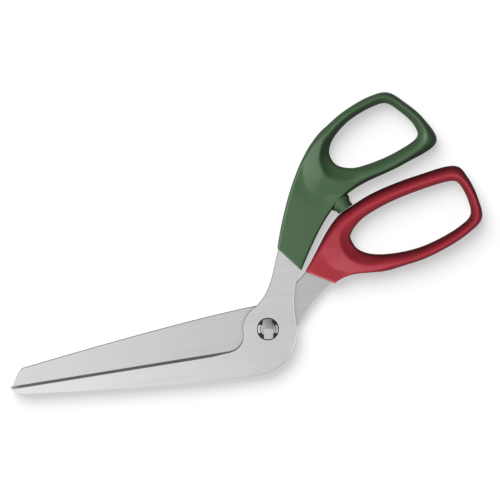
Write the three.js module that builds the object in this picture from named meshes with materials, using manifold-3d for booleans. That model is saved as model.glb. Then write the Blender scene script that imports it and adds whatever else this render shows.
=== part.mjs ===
// Pizza scissors, closed and lying flat, in millimetres with +Z up.
// The origin is the middle of the pivot nut's outer face, +X runs along the cutting line from the
// blade tips towards the handles, and the handles rise towards +Y.
// The front blade and the thumb handle swing together about the Z axis, counter-clockwise to open.
import * as THREE from 'three';
import { mergeVertices } from 'three/addons/utils/BufferGeometryUtils.js';
import Module from 'manifold-3d';

const wasm = await Module();
wasm.setup();

// Clearances
const runningGap = 0.3;         // between the blade faces, and round the bolt's head
const boreGap = 0.1;            // round the bolt in the front blade's bore
const seatGap = 0.1;            // between pieces clamped on the pivot
const mouldGap = 0.3;           // between a blade and the plastic round it
const stopGap = 0.3;            // between the stop peg and the finger handle when closed

// Blades
const stock = 2.5;              // thickness of both blanks
const bladeReach = 137;         // pivot axis to the tips
const edgeDrop = 8.3;           // front cutting edge below the pivot axis
const edgeOverlap = 1.6;        // how far the closed edges pass each other
const bevelWidth = 1.5;         // ground cutting bevel
const edgeLand = 0.25;          // thickness left at a cutting edge
const bossRadius = 13.3;        // rounded shoulder of each blank about the pivot
const frontHeelDepth = 14.8;    // front blade, edge to back beside the pivot
const frontHeelRadius = 23.1;   // its big round corner behind the pivot
const frontNeckBack = 15.1;     // back of the front neck, behind the pivot axis
const frontTipDepth = 5.4;      // front blade, edge to back near the tip
const frontTipRun = 10;         // length of the front tip's rounding
const frontTipBlunt = 0.7;      // height left at the front tip's end
const frontBellyPull = 30;      // how far the front back holds level before it slopes to the tip
const rearTipDepth = 10.5;      // rear blade, edge to spine at the tip
const rearTipRun = 9.1;         // length of the rear tip's slanted end
const rearTipSlant = { run: 0.4, rise: 0.6 }; // shares of the tip at which its slant starts to bend
const rearSpineBend = { ahead: 42.5, dip: 1.6 }; // where the spine bends, and how far it sags there
const rearHeelReach = 25;       // pivot axis to the inner end of the rear cutting edge

// Sides of the necks: where they leave the round about the pivot and how far they hold its
// direction, then which way they reach the mouth and how far they have held that
const frontNeckLeft = { from: 115, leave: 8, way: 72, reach: 16 };
const frontNeckRight = { leave: 8, way: 60, reach: 10 };
const rearNeckLeft = { from: 100, leave: 10, way: 39, reach: 14 };
const rearNeckRight = { from: -10, leave: 8, way: 22, reach: 14 };
const rearHeelFrom = -125;      // where the rear cutting edge's heel leaves the same round

// Handles
const bodyThickness = 9;        // flat part behind the mouth
const bowThickness = 12;        // ring round each finger loop
const bodyRound = 1.4;          // rounded edges of the flat part
const bowRound = 2.1;           // rounded edges of the ring, seen from above
const bowRoundDepth = 4.2;      // the same, seen from the side
const rampLength = 4;           // slope from the flat part up to the ring
const scoopDepth = 4;           // bowl that leads a finger into a loop
const mouthLip = 0.8;           // plastic beside the neck at each corner of a mouth
const tangHole = 4.2;           // hole through a tang that the moulding fills

// Thumb handle, on the front blade
const thumbMouthLeft = new THREE.Vector2(11.5, 40.7);
const thumbMouthRight = new THREE.Vector2(22, 27.3);
const thumbSideLeft = { way: 72.5, mouthPull: 19, bowPull: 19.5 };
const thumbSideRight = { way: 58.2, mouthPull: 29.5, bowPull: 20.6 };
const thumbLoopNear = new THREE.Vector2(45.8, 86.1);
const thumbLoopTurn = 12;
const thumbLoopLength = 46.4;
const thumbLoopWidth = 26.9;
const thumbWall = 5.6;          // the ring's usual wall, seen from above
const thumbScoop = { along: 5.7, across: -5.6, radius: 12.6 };
const thumbRing = { x: 42, y: 75, radius: 11.4, right: -5, left: 105 };
const thumbTangLength = 34;
const thumbTangWidth = 10;
const thumbTangTurn = 61;

// Finger handle, on the rear blade
const fingerMouthLeft = new THREE.Vector2(23.9, 26.3);
const fingerMouthRight = new THREE.Vector2(38.2, 17.9);
const fingerSideLeft = { way: 50.5, mouthPull: 16, bowPull: 10.2 };
const fingerSideRight = { way: 30.3, mouthPull: 12.4, bowPull: 12.3 };
const fingerLoopNear = new THREE.Vector2(50.9, 36.3);
const fingerLoopTurn = 12;
const fingerLoopLength = 64;
const fingerLoopWidth = 27.7;
const fingerWall = 6;
const fingerScoop = { along: 6.8, across: -1, radius: 12.6 };
const fingerRing = { x: 45.5, y: 33.7, radius: 10.3, right: -20, left: 100 };
const fingerTangLength = 15;
const fingerTangWidth = 7;
const fingerTangTurn = 20;

// Stop peg, moulded on the thumb handle
const pegDiameter = 8.8;
const pegFoot = new THREE.Vector2(47.9, 58.4);
const pegTurn = -59;
const pegRoot = 5;              // buried in the thumb handle
const pegReach = 8;             // before it is cut to the finger handle's side

// Pivot
const shankDiameter = 6;
const keyWidth = 4.6;           // across the flats that stop the bolt turning in the rear blade
const recessDiameter = 11.5;    // round recess in the front blade
const recessDepth = 1.4;
const washerThickness = 0.5;
const petalSpan = 52;           // degrees covered by each of the washer's four petals
const petalRoot = 4;            // radius at the bottom of the washer's gaps
const hubDiameter = 7.6;
const hubHeight = 0.8;
const barWidth = 5;
const barRise = 0.7;            // ridge of the bolt's cross bar above the front blade
const barFall = 0.9;            // drop from the ridge to the bar's ends
const barTurn = -9.2;
const nutDiameter = 11;
const nutThickness = 2.4;
const nutRound = 0.5;
const threadDepth = 1.7;
const wrenchHole = { diameter: 1.6, depth: 0.9, reach: 3.6 };

// Heights
const rearBottom = nutThickness + seatGap;
const rearTop = rearBottom + stock;
const frontBottom = rearTop + runningGap;
const frontTop = frontBottom + stock;
const middle = (rearTop + frontBottom) / 2;
const recessFloor = frontTop - recessDepth;
const hubBottom = recessFloor + washerThickness + 2 * seatGap;

const frontEdge = -edgeDrop;
const rearEdge = -edgeDrop - edgeOverlap;
const curveSteps = 10;

const steel = { color: 0xc6c6c8, roughness: 0.35, metalness: 1 };
const brightSteel = { color: 0xd8d8da, roughness: 0.25, metalness: 1 };
const springSteel = { color: 0xb8b8ba, roughness: 0.3, metalness: 1 };
const greenPlastic = { color: 0x4c7250, roughness: 0.5, metalness: 0 };
const redPlastic = { color: 0xad2f38, roughness: 0.45, metalness: 0 };

// Turns a closed geometry into a solid that can be cut and joined.
function solid(geometry) {
  geometry.deleteAttribute('normal');
  geometry.deleteAttribute('uv');
  const welded = mergeVertices(geometry, 1e-4);
  const corners = welded.index.array;
  const kept = [];
  for (let i = 0; i < corners.length; i += 3) {
    const [a, b, c] = [corners[i], corners[i + 1], corners[i + 2]];
    if (a !== b && b !== c && c !== a) kept.push(a, b, c);
  }
  const vertProperties = welded.attributes.position.array;
  return new wasm.Manifold(new wasm.Mesh({ numProp: 3, vertProperties, triVerts: Uint32Array.from(kept) }));
}

// The named and coloured mesh of a finished solid.
function piece(name, body, finish) {
  const { vertProperties, triVerts } = body.getMesh();
  const geometry = new THREE.BufferGeometry();
  geometry.setAttribute('position', new THREE.BufferAttribute(vertProperties, 3));
  geometry.setIndex(new THREE.BufferAttribute(triVerts, 1));
  geometry.computeVertexNormals();
  const mesh = new THREE.Mesh(geometry, new THREE.MeshStandardMaterial(finish));
  mesh.name = name;
  return mesh;
}

// A flat outline raised from one height to another.
function plate(shape, bottom, top) {
  const depth = top - bottom;
  const settings = { depth, bevelEnabled: false, curveSegments: curveSteps };
  return solid(new THREE.ExtrudeGeometry(shape, settings).translate(0, 0, bottom));
}

// An outline centred between the blades, with both rims rounded off inside it.
function cushioned(shape, thickness, across, deep, steps) {
  const geometry = new THREE.ExtrudeGeometry(shape, {
    depth: thickness - 2 * deep,
    bevelThickness: deep,
    bevelSize: across,
    bevelOffset: -across,
    bevelSegments: steps,
    curveSegments: curveSteps,
  });
  return solid(geometry.translate(0, 0, middle - thickness / 2 + deep));
}

// An outline drawn in Y and Z and drawn out along X.
function prism(points, start, end) {
  const outline = new THREE.Shape(points.map(([y, z]) => new THREE.Vector2(y, z)));
  const geometry = new THREE.ExtrudeGeometry(outline, { depth: end - start, bevelEnabled: false });
  const toY = new THREE.Vector3(0, 1, 0);
  const toZ = new THREE.Vector3(0, 0, 1);
  const toX = new THREE.Vector3(1, 0, 0);
  geometry.applyMatrix4(new THREE.Matrix4().makeBasis(toY, toZ, toX));
  return geometry.translate(start, 0, 0);
}

// An upright round rod.
function rod(diameter, bottom, top, x = 0, y = 0) {
  const geometry = new THREE.CylinderGeometry(diameter / 2, diameter / 2, top - bottom, 48);
  geometry.rotateX(Math.PI / 2);
  return solid(geometry.translate(x, y, (bottom + top) / 2));
}

function radians(degrees) {
  return THREE.MathUtils.degToRad(degrees);
}

function heading(degrees) {
  return new THREE.Vector2(Math.cos(radians(degrees)), Math.sin(radians(degrees)));
}

// The point at a distance from another in a direction.
function ahead(start, way, distance) {
  return start.clone().addScaledVector(way, distance);
}

// The smooth curve through a few points.
function curveThrough(knots, closed) {
  const inSpace = knots.map((p) => new THREE.Vector3(p.x, p.y, 0));
  return new THREE.CatmullRomCurve3(inSpace, closed, 'centripetal');
}

// Points along the smooth curve through a few.
function smooth(knots, closed, steps) {
  const run = curveThrough(knots, closed).getPoints(steps).map((p) => new THREE.Vector2(p.x, p.y));
  return closed ? run.slice(0, -1) : run;
}

// A curve that leaves one point and reaches another in given directions.
function easing(start, startWay, startPull, end, endWay, endPull) {
  const leaving = ahead(start, startWay, startPull);
  const reaching = ahead(end, endWay, -endPull);
  return new THREE.CubicBezierCurve(start, leaving, reaching, end).getPoints(curveSteps);
}

// A closed counter-clockwise outline moved out square to itself.
function grown(points, gap) {
  return points.map((point, i) => {
    const before = points[(i + points.length - 1) % points.length];
    const after = points[(i + 1) % points.length];
    const along = after.clone().sub(before).normalize();
    return new THREE.Vector2(point.x + along.y * gap, point.y - along.x * gap);
  });
}

// A straight bar with round ends.
function capsule(start, end, width) {
  const turn = Math.atan2(end.y - start.y, end.x - start.x);
  const shape = new THREE.Shape();
  shape.absarc(end.x, end.y, width / 2, turn - Math.PI / 2, turn + Math.PI / 2, false);
  shape.absarc(start.x, start.y, width / 2, turn + Math.PI / 2, turn + Math.PI * 1.5, false);
  return shape;
}

// Finger loops. Each row places a point of the loop by shares of its half length and half width,
// counter-clockwise from the end nearest the blades, with the share of the usual wall that lies
// outside it where that is ring.
const thumbLoopRows = [
  [-1, -0.121],
  [-0.944, -0.576],
  [-0.671, -0.901],
  [-0.338, -1, 1.49],
  [0.442, -0.95, 1.36],
  [0.991, -0.667, 1.87],
  [1, -0.226, 1.1],
  [0.815, 0.457, 0.97],
  [0.592, 0.937, 1.04],
  [0.285, 1, 1.01],
  [-0.321, 0.819, 1.02],
  [-0.719, 0.486, 1.25],
  [-0.911, 0.196],
];
const fingerLoopRows = [
  [-1, 0.102],
  [-0.962, -0.206],
  [-0.802, -0.542],
  [-0.45, -0.845, 1.35],
  [0.073, -1, 1.08],
  [0.726, -0.798, 0.97],
  [0.95, -0.546, 1.05],
  [1, -0.033, 0.88],
  [0.964, 0.661, 0.95],
  [0.908, 0.846, 1.31],
  [0.347, 1, 1.29],
  [-0.382, 0.939, 1.4],
  [-0.789, 0.705, 1.58],
  [-0.997, 0.33],
];

// A loop's opening, and the outer line of the ring round it.
function loop(rows, near, turn, length, width, usualWall) {
  const along = heading(turn);
  const across = heading(turn + 90);
  const centre = ahead(near, along, length / 2);
  const knots = rows.map(([u, v]) => {
    const onAxis = ahead(centre, along, (u * length) / 2);
    return ahead(onAxis, across, (v * width) / 2);
  });
  const rim = curveThrough(knots, true);
  const bow = [];
  rows.forEach(([, , share], i) => {
    if (!share) return;
    const way = rim.getTangent(i / rows.length);
    const wall = share * usualWall;
    bow.push(new THREE.Vector2(knots[i].x + way.y * wall, knots[i].y - way.x * wall));
  });
  return { near, along, across, opening: smooth(knots, true, 60), bow: smooth(bow, false, 42) };
}

const thumbLoop = loop(
  thumbLoopRows,
  thumbLoopNear,
  thumbLoopTurn,
  thumbLoopLength,
  thumbLoopWidth,
  thumbWall,
);
const fingerLoop = loop(
  fingerLoopRows,
  fingerLoopNear,
  fingerLoopTurn,
  fingerLoopLength,
  fingerLoopWidth,
  fingerWall,
);

// Joins the bow's two ends to the corners of the mouth. Each side says which way it runs at the
// mouth, and how far it holds that way and the bow's own.
function handleOutline(bow, mouthLeft, mouthRight, left, right) {
  const last = bow.length - 1;
  const start = bow[1].clone().sub(bow[0]).normalize();
  const end = bow[last].clone().sub(bow[last - 1]).normalize();
  const rightWay = heading(right.way);
  const leftWay = heading(left.way + 180);
  const rightSide = easing(mouthRight, rightWay, right.mouthPull, bow[0], start, right.bowPull);
  const leftSide = easing(bow[last], end, left.bowPull, mouthLeft, leftWay, left.mouthPull);
  return [...rightSide.slice(0, -1), ...bow, ...leftSide.slice(1)];
}

const thumbOutline = handleOutline(
  thumbLoop.bow,
  thumbMouthLeft,
  thumbMouthRight,
  thumbSideLeft,
  thumbSideRight,
);
const fingerOutline = handleOutline(
  fingerLoop.bow,
  fingerMouthLeft,
  fingerMouthRight,
  fingerSideLeft,
  fingerSideRight,
);

// A tang runs straight into its handle from the middle of the mouth.
function tangLine(mouthLeft, mouthRight, turn, length, width) {
  const base = mouthLeft.clone().lerp(mouthRight, 0.5);
  const way = heading(turn);
  return {
    start: ahead(base, way, -width / 2),
    end: ahead(base, way, length - width / 2),
    plug: ahead(base, way, length / 2),
    outside: ahead(base, way, -width * 1.5),
    width,
  };
}

const thumbTang = tangLine(
  thumbMouthLeft,
  thumbMouthRight,
  thumbTangTurn,
  thumbTangLength,
  thumbTangWidth,
);
const fingerTang = tangLine(
  fingerMouthLeft,
  fingerMouthRight,
  fingerTangTurn,
  fingerTangLength,
  fingerTangWidth,
);

// The room for a tang in its handle, crossed by the plug that fills the tang's hole.
function pocket(tang, bottom, top) {
  const low = bottom - mouldGap;
  const high = top + mouldGap;
  const room = plate(capsule(tang.outside, tang.end, tang.width + 2 * mouldGap), low, high);
  return room.subtract(rod(tangHole - 2 * mouldGap, low, high, tang.plug.x, tang.plug.y));
}

// The part of a handle that rises to the bow's thickness: behind a round front, and between two
// lines that run off past the loop.
function ringArea({ x, y, radius, right, left }) {
  const middlePoint = new THREE.Vector2(x, y);
  const away = bladeReach;
  const leftTouch = ahead(middlePoint, heading(left + 90), radius);
  const rightTouch = ahead(middlePoint, heading(right - 90), radius);
  const farRight = ahead(rightTouch, heading(right), away);
  const farLeft = ahead(leftTouch, heading(left), away);
  const shape = new THREE.Shape();
  shape.absarc(x, y, radius, radians(left + 90), radians(right + 270), false);
  shape.lineTo(farRight.x, farRight.y);
  shape.lineTo(farLeft.x, farLeft.y);
  return shape;
}

// A shallow bowl in each face at the near end of a loop.
function scoops(ring, scoop) {
  const centre = ahead(ahead(ring.near, ring.along, scoop.along), ring.across, scoop.across);
  const bowls = [-1, 1].map((side) => {
    const geometry = new THREE.SphereGeometry(1, 32, 12);
    geometry.scale(scoop.radius, scoop.radius, scoopDepth);
    return solid(geometry.translate(centre.x, centre.y, middle + (side * bowThickness) / 2));
  });
  return bowls[0].add(bowls[1]);
}

function handle(outline, ring, area, scoop, tangRoom) {
  const opening = new THREE.Path(ring.opening);
  const shape = new THREE.Shape(outline);
  shape.holes.push(opening);
  const flatPart = cushioned(shape, bodyThickness, bodyRound, bodyRound, 2);
  const bow = cushioned(shape, bowThickness, bowRound, bowRoundDepth, 3);
  const rampHeight = (bowThickness - bodyThickness) / 2;
  const ramp = cushioned(ringArea(area), bowThickness, rampLength, rampHeight, 3);
  return flatPart.add(bow.intersect(ramp)).subtract(scoops(ring, scoop)).subtract(tangRoom);
}

function thumbHandle() {
  const room = pocket(thumbTang, frontBottom, frontTop);
  const moulding = handle(thumbOutline, thumbLoop, thumbRing, thumbScoop, room);
  const length = pegRoot + pegReach;
  const way = heading(pegTurn);
  const peg = new THREE.CylinderGeometry(pegDiameter / 2, pegDiameter / 2, length, 40);
  peg.rotateZ(radians(pegTurn - 90));
  const centre = ahead(pegFoot, way, length / 2 - pegRoot);
  peg.translate(centre.x, centre.y, middle);
  const stopSide = new THREE.Shape(grown(fingerOutline, stopGap));
  const cut = plate(stopSide, middle - bowThickness, middle + bowThickness);
  return moulding.add(solid(peg).subtract(cut));
}

function fingerHandle() {
  const room = pocket(fingerTang, rearBottom, rearTop);
  return handle(fingerOutline, fingerLoop, fingerRing, fingerScoop, room);
}

// The two corners in which a neck ends, just short of its handle's mouth.
function neckEnd(mouthLeft, mouthRight) {
  const along = mouthLeft.clone().sub(mouthRight).normalize();
  const back = new THREE.Vector2(-along.y, along.x);
  return {
    left: ahead(ahead(mouthLeft, along, -mouthLip), back, mouldGap),
    right: ahead(ahead(mouthRight, along, mouthLip), back, mouldGap),
  };
}

// Adds to an outline the curve from its last point to an end point.
function easeTo(shape, startWay, startPull, end, endWay, endPull) {
  const leaving = ahead(shape.currentPoint, heading(startWay), startPull);
  const reaching = ahead(end, heading(endWay), -endPull);
  shape.bezierCurveTo(leaving.x, leaving.y, reaching.x, reaching.y, end.x, end.y);
}

function frontBlank() {
  const heel = -(bossRadius + edgeDrop);
  const back = frontEdge - frontHeelDepth;
  const corner = new THREE.Vector2(frontNeckBack - frontHeelRadius, back + frontHeelRadius);
  const neckFoot = new THREE.Vector2(frontNeckBack, corner.y);
  const tipBack = frontEdge - frontTipDepth;
  const tipEnd = new THREE.Vector2(-bladeReach, frontEdge - frontTipBlunt);
  const neck = neckEnd(thumbMouthLeft, thumbMouthRight);
  const left = frontNeckLeft;
  const right = frontNeckRight;
  const shape = new THREE.Shape();
  shape.moveTo(-bladeReach, frontEdge);
  shape.lineTo(heel, frontEdge);
  shape.absarc(heel, 0, edgeDrop, -Math.PI / 2, 0, false);
  shape.absarc(0, 0, bossRadius, Math.PI, radians(left.from), true);
  easeTo(shape, left.from - 90, left.leave, neck.left, left.way, left.reach);
  shape.lineTo(neck.right.x, neck.right.y);
  easeTo(shape, right.way + 180, right.reach, neckFoot, -90, right.leave);
  shape.absarc(corner.x, corner.y, frontHeelRadius, 0, -Math.PI / 2, true);
  shape.quadraticCurveTo(corner.x - frontBellyPull, back, -bladeReach + frontTipRun, tipBack);
  shape.quadraticCurveTo(tipEnd.x + 2 * frontTipBlunt, tipBack + frontTipBlunt, tipEnd.x, tipEnd.y);
  return shape;
}

function rearBlank() {
  const spineStart = -bladeReach + rearTipRun;
  const spineLow = rearEdge + rearTipDepth;
  const { run, rise } = rearTipSlant;
  const slantCorner = -bladeReach + (rearTipRun * run) / rise;
  const neck = neckEnd(fingerMouthLeft, fingerMouthRight);
  const left = rearNeckLeft;
  const right = rearNeckRight;
  const spineEnd = heading(left.from).multiplyScalar(bossRadius);
  const bossStart = heading(right.from).multiplyScalar(bossRadius);
  const shape = new THREE.Shape();
  shape.moveTo(-bladeReach, rearEdge);
  shape.lineTo(-bladeReach + rearTipRun * run, rearEdge + rearTipDepth * rise);
  shape.quadraticCurveTo(slantCorner, spineLow, spineStart, spineLow);
  shape.quadraticCurveTo(-rearSpineBend.ahead, spineEnd.y - rearSpineBend.dip, spineEnd.x, spineEnd.y);
  easeTo(shape, left.from - 90, left.leave, neck.left, left.way, left.reach);
  shape.lineTo(neck.right.x, neck.right.y);
  easeTo(shape, right.way + 180, right.reach, bossStart, right.from - 90, right.leave);
  shape.absarc(0, 0, bossRadius, radians(right.from), radians(rearHeelFrom), true);
  shape.quadraticCurveTo(-bossRadius, rearEdge, -rearHeelReach, rearEdge);
  return shape;
}

function withTang(blank, tang, bottom, top) {
  const tongue = plate(capsule(tang.start, tang.end, tang.width), bottom, top);
  const hole = rod(tangHole, bottom - 1, top + 1, tang.plug.x, tang.plug.y);
  return plate(blank, bottom, top).add(tongue).subtract(hole);
}

// The material ground away from a blade's outer face to leave its cutting bevel.
function grinding(edge, towardsBack, outerFace, innerFace, inwards, end) {
  const land = innerFace - inwards * edgeLand;
  const past = outerFace - inwards;
  const points = [
    [edge + towardsBack * bevelWidth, outerFace],
    [edge, land],
    [edge - towardsBack * 2, land],
    [edge - towardsBack * 2, past],
    [edge + towardsBack * bevelWidth, past],
  ];
  return solid(prism(points, -bladeReach - 1, end));
}

function frontBlade() {
  const blank = withTang(frontBlank(), thumbTang, frontBottom, frontTop);
  const bore = rod(shankDiameter + 2 * boreGap, frontBottom - 1, frontTop + 1);
  const recess = rod(recessDiameter, recessFloor, frontTop + 1);
  const bevel = grinding(frontEdge, -1, frontTop, frontBottom, -1, -(bossRadius + edgeDrop));
  return blank.subtract(bore).subtract(recess).subtract(bevel);
}

// A circle with two flats cut off it, square to X.
function flatted(diameter, across) {
  const reach = Math.acos(across / diameter);
  const shape = new THREE.Shape();
  shape.absarc(0, 0, diameter / 2, reach, Math.PI - reach, false);
  shape.absarc(0, 0, diameter / 2, Math.PI + reach, -reach + Math.PI * 2, false);
  return shape;
}

function rearBlade() {
  const blank = withTang(rearBlank(), fingerTang, rearBottom, rearTop);
  const slot = flatted(shankDiameter + 2 * seatGap, keyWidth + 2 * seatGap);
  const bevel = grinding(rearEdge, 1, rearBottom, rearTop, 1, -rearHeelReach);
  return blank.subtract(plate(slot, rearBottom - 1, rearTop + 1)).subtract(bevel);
}

// The bolt's cross bar has two sloping wings that meet in a ridge over the hub.
function crossBar() {
  const half = recessDiameter / 2 - runningGap;
  const ridge = frontTop + barRise;
  const wing = ridge - barFall;
  const points = [[-half, hubBottom], [half, hubBottom], [half, wing], [0, ridge], [-half, wing]];
  const geometry = prism(points, -barWidth / 2, barWidth / 2).rotateZ(radians(barTurn));
  return solid(geometry).intersect(rod(2 * half, hubBottom - 1, ridge + 1));
}

function pivotBolt() {
  const thread = rod(keyWidth, nutThickness - threadDepth + seatGap, rearBottom);
  const key = plate(flatted(shankDiameter, keyWidth), rearBottom, rearTop);
  const shank = rod(shankDiameter, rearTop, hubBottom);
  const hub = rod(hubDiameter, hubBottom, hubBottom + hubHeight);
  return thread.add(key).add(shank).add(hub).add(crossBar());
}

// A thin washer with four petals that press on the floor of the front blade's recess.
function springWasher() {
  const tip = recessDiameter / 2 - runningGap;
  const shape = new THREE.Shape();
  for (let petal = 0; petal < 4; petal += 1) {
    const start = barTurn + petal * 90 - petalSpan / 2;
    shape.absarc(0, 0, tip, radians(start), radians(start + petalSpan), false);
    shape.absarc(0, 0, petalRoot, radians(start + petalSpan), radians(start + 90), false);
  }
  const bore = rod(shankDiameter + 2 * seatGap, recessFloor, frontTop);
  const bottom = recessFloor + seatGap;
  return plate(shape, bottom, bottom + washerThickness).subtract(bore);
}

function pivotNut() {
  const radius = nutDiameter / 2;
  const profile = new THREE.Path();
  profile.moveTo(0, 0);
  profile.lineTo(radius - nutRound, 0);
  profile.absarc(radius - nutRound, nutRound, nutRound, -Math.PI / 2, 0, false);
  profile.lineTo(radius, nutThickness);
  profile.lineTo(0, nutThickness);
  const geometry = new THREE.LatheGeometry(profile.getPoints(4), 48);
  geometry.rotateX(Math.PI / 2);
  const threaded = rod(keyWidth + 2 * seatGap, nutThickness - threadDepth, nutThickness + 1);
  let nut = solid(geometry).subtract(threaded);
  for (const side of [-1, 1]) {
    nut = nut.subtract(rod(wrenchHole.diameter, -1, wrenchHole.depth, side * wrenchHole.reach, 0));
  }
  return nut;
}

const group = new THREE.Group();
group.add(piece('front_blade', frontBlade(), steel));
group.add(piece('rear_blade', rearBlade(), steel));
group.add(piece('thumb_handle', thumbHandle(), greenPlastic));
group.add(piece('finger_handle', fingerHandle(), redPlastic));
group.add(piece('pivot_bolt', pivotBolt(), brightSteel));
group.add(piece('spring_washer', springWasher(), springSteel));
group.add(piece('pivot_nut', pivotNut(), brightSteel));
export default group;
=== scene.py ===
"""Looks of a pair of pizza scissors: two ground blades, two moulded handles and their pivot.

Lengths are in millimetres until a mesh is finished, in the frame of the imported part. The origin is
the middle of the nut's outer face, +X runs along the cutting line from the tips to the handles, the
handles rise towards +Y, and +Z runs along the pivot from the nut to the bolt's head.
"""

import logging
import math
from dataclasses import dataclass, field
from enum import Enum
from typing import Any, Callable, Optional, Sequence, Union

import bmesh
import bpy
import numpy as np
from mathutils import Matrix, Vector


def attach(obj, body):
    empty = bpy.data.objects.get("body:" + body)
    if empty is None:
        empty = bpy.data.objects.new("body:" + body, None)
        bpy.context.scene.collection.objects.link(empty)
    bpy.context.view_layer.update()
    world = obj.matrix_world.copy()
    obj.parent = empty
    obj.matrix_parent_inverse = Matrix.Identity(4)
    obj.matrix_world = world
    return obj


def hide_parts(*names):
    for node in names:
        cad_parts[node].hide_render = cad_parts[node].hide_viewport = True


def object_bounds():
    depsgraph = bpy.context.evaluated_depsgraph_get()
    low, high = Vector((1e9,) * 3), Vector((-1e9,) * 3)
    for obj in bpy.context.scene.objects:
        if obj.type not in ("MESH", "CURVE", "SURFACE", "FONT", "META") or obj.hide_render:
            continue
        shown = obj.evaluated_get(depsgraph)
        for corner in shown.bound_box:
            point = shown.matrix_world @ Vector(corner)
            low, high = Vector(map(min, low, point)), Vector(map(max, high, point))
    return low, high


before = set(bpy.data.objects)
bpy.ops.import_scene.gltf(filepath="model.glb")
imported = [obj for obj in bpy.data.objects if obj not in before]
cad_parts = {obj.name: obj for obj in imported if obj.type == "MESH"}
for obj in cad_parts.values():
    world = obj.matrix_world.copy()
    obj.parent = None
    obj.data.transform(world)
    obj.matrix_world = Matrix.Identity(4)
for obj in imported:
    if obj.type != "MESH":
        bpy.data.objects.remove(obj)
CAD_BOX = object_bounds()

LOG = logging.getLogger("pizza_scissors")
MM = 0.001  # metres in a millimetre
WELD = 1e-4  # points nearer to each other than this become one
SUPPORT = 0.06  # strip beside a rounded rim that keeps its shading off the flat face
SIDEWAYS, FLAT, DEAD_FLAT = 0.05, 0.99, 0.999  # how far a face looks up, from 0 to 1
Colour = tuple[float, float, float]


# Plane curves


def point(x: float, y: float) -> np.ndarray:
    """A point of the plane."""
    return np.array([x, y], dtype=float)


def heading(degrees: float) -> np.ndarray:
    """The unit vector at an angle from +X."""
    return point(math.cos(math.radians(degrees)), math.sin(math.radians(degrees)))


def arc(centre: np.ndarray, radius: float, start: float, end: float, steps: int) -> np.ndarray:
    """Points of a circle from one angle to another.

    Args:
        centre: Middle of the circle.
        radius: Its radius.
        start: First angle, in degrees.
        end: Last angle, in degrees; smaller than start for a clockwise run.
        steps: Number of steps between the points.

    Returns:
        The points, both ends included.
    """
    angles = np.radians(np.linspace(start, end, steps + 1))
    return centre + radius * np.stack([np.cos(angles), np.sin(angles)], axis=1)


def bezier(corners: Sequence[np.ndarray], steps: int) -> np.ndarray:
    """Points of a Bezier curve of any degree, both ends included.

    Args:
        corners: The curve's control points.
        steps: Number of steps between the points.

    Returns:
        The points.
    """
    share = np.linspace(0, 1, steps + 1)[:, None]
    run = [np.broadcast_to(corner, (steps + 1, 2)) for corner in corners]
    while len(run) > 1:
        run = [a + (b - a) * share for a, b in zip(run, run[1:])]
    return run[0]


def easing(
    start: np.ndarray,
    start_way: np.ndarray,
    start_pull: float,
    end: np.ndarray,
    end_way: np.ndarray,
    end_pull: float,
    steps: int,
) -> np.ndarray:
    """Points of a curve that leaves one point and reaches another in given directions.

    Args:
        start: First point.
        start_way: Unit vector in which the curve leaves it.
        start_pull: How far it holds that way.
        end: Last point.
        end_way: Unit vector in which the curve reaches it.
        end_pull: How far it has held that way.
        steps: Number of steps between the points.

    Returns:
        The points, both ends included.
    """
    return bezier([start, start + start_way * start_pull, end - end_way * end_pull, end], steps)


def spline(knots: np.ndarray, places: np.ndarray, closed: bool) -> np.ndarray:
    """Points of a centripetal Catmull-Rom curve.

    Args:
        knots: The points that the curve passes through.
        places: Where on the curve, counted in knots from the first.
        closed: Whether the curve runs back to its first knot.

    Returns:
        One point for each place.
    """
    count = len(knots)
    if closed:
        ring = np.vstack([knots[-1:], knots, knots[:2]])
        index = np.floor(places).astype(int) % count
    else:
        ring = np.vstack([2 * knots[0] - knots[1], knots, 2 * knots[-1] - knots[-2]])
        index = np.clip(np.floor(places).astype(int), 0, count - 2)
    share = (places - (np.floor(places) if closed else index))[:, None]
    p0, p1, p2, p3 = (ring[index + i] for i in range(4))
    spans = ((p0, p1), (p1, p2), (p2, p3))
    d0, d1, d2 = (np.linalg.norm(b - a, axis=1)[:, None] ** 0.5 for a, b in spans)
    leave = ((p1 - p0) / d0 - (p2 - p0) / (d0 + d1) + (p2 - p1) / d1) * d1
    reach = ((p2 - p1) / d1 - (p3 - p1) / (d1 + d2) + (p3 - p2) / d2) * d1
    square = 3 * (p2 - p1) - 2 * leave - reach
    cube = 2 * (p1 - p2) + leave + reach
    return p1 + leave * share + square * share**2 + cube * share**3


def swell(values: Sequence[float], places: np.ndarray) -> np.ndarray:
    """Numbers given at the knots of a closed curve, blended smoothly between them.

    Args:
        values: One number for each knot.
        places: Where on the curve, counted in knots from the first.

    Returns:
        One number for each place.
    """
    given = np.array(values, dtype=float)
    count = len(given)
    index = np.floor(places).astype(int)
    share = places - index
    share = share * share * (3 - 2 * share)
    return given[index % count] * (1 - share) + given[(index + 1) % count] * share


def travelled(points: np.ndarray) -> np.ndarray:
    """Distance along an open run of points, from its start to each."""
    return np.concatenate([[0.0], np.cumsum(np.linalg.norm(np.diff(points, axis=0), axis=1))])


def spaced(points: np.ndarray, step: float) -> np.ndarray:
    """An open run with its points redone at even steps.

    Args:
        points: The run.
        step: Wanted distance between points.

    Returns:
        The new run, with the same two ends.
    """
    along = travelled(points)
    marks = np.linspace(0, along[-1], max(2, round(along[-1] / step) + 1))
    return np.stack([np.interp(marks, along, column) for column in points.T], axis=1)


def joined(runs: Sequence[np.ndarray]) -> np.ndarray:
    """Runs laid end to end as one closed outline, with each shared end kept once."""
    return np.vstack([run[:-1] for run in runs])


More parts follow.
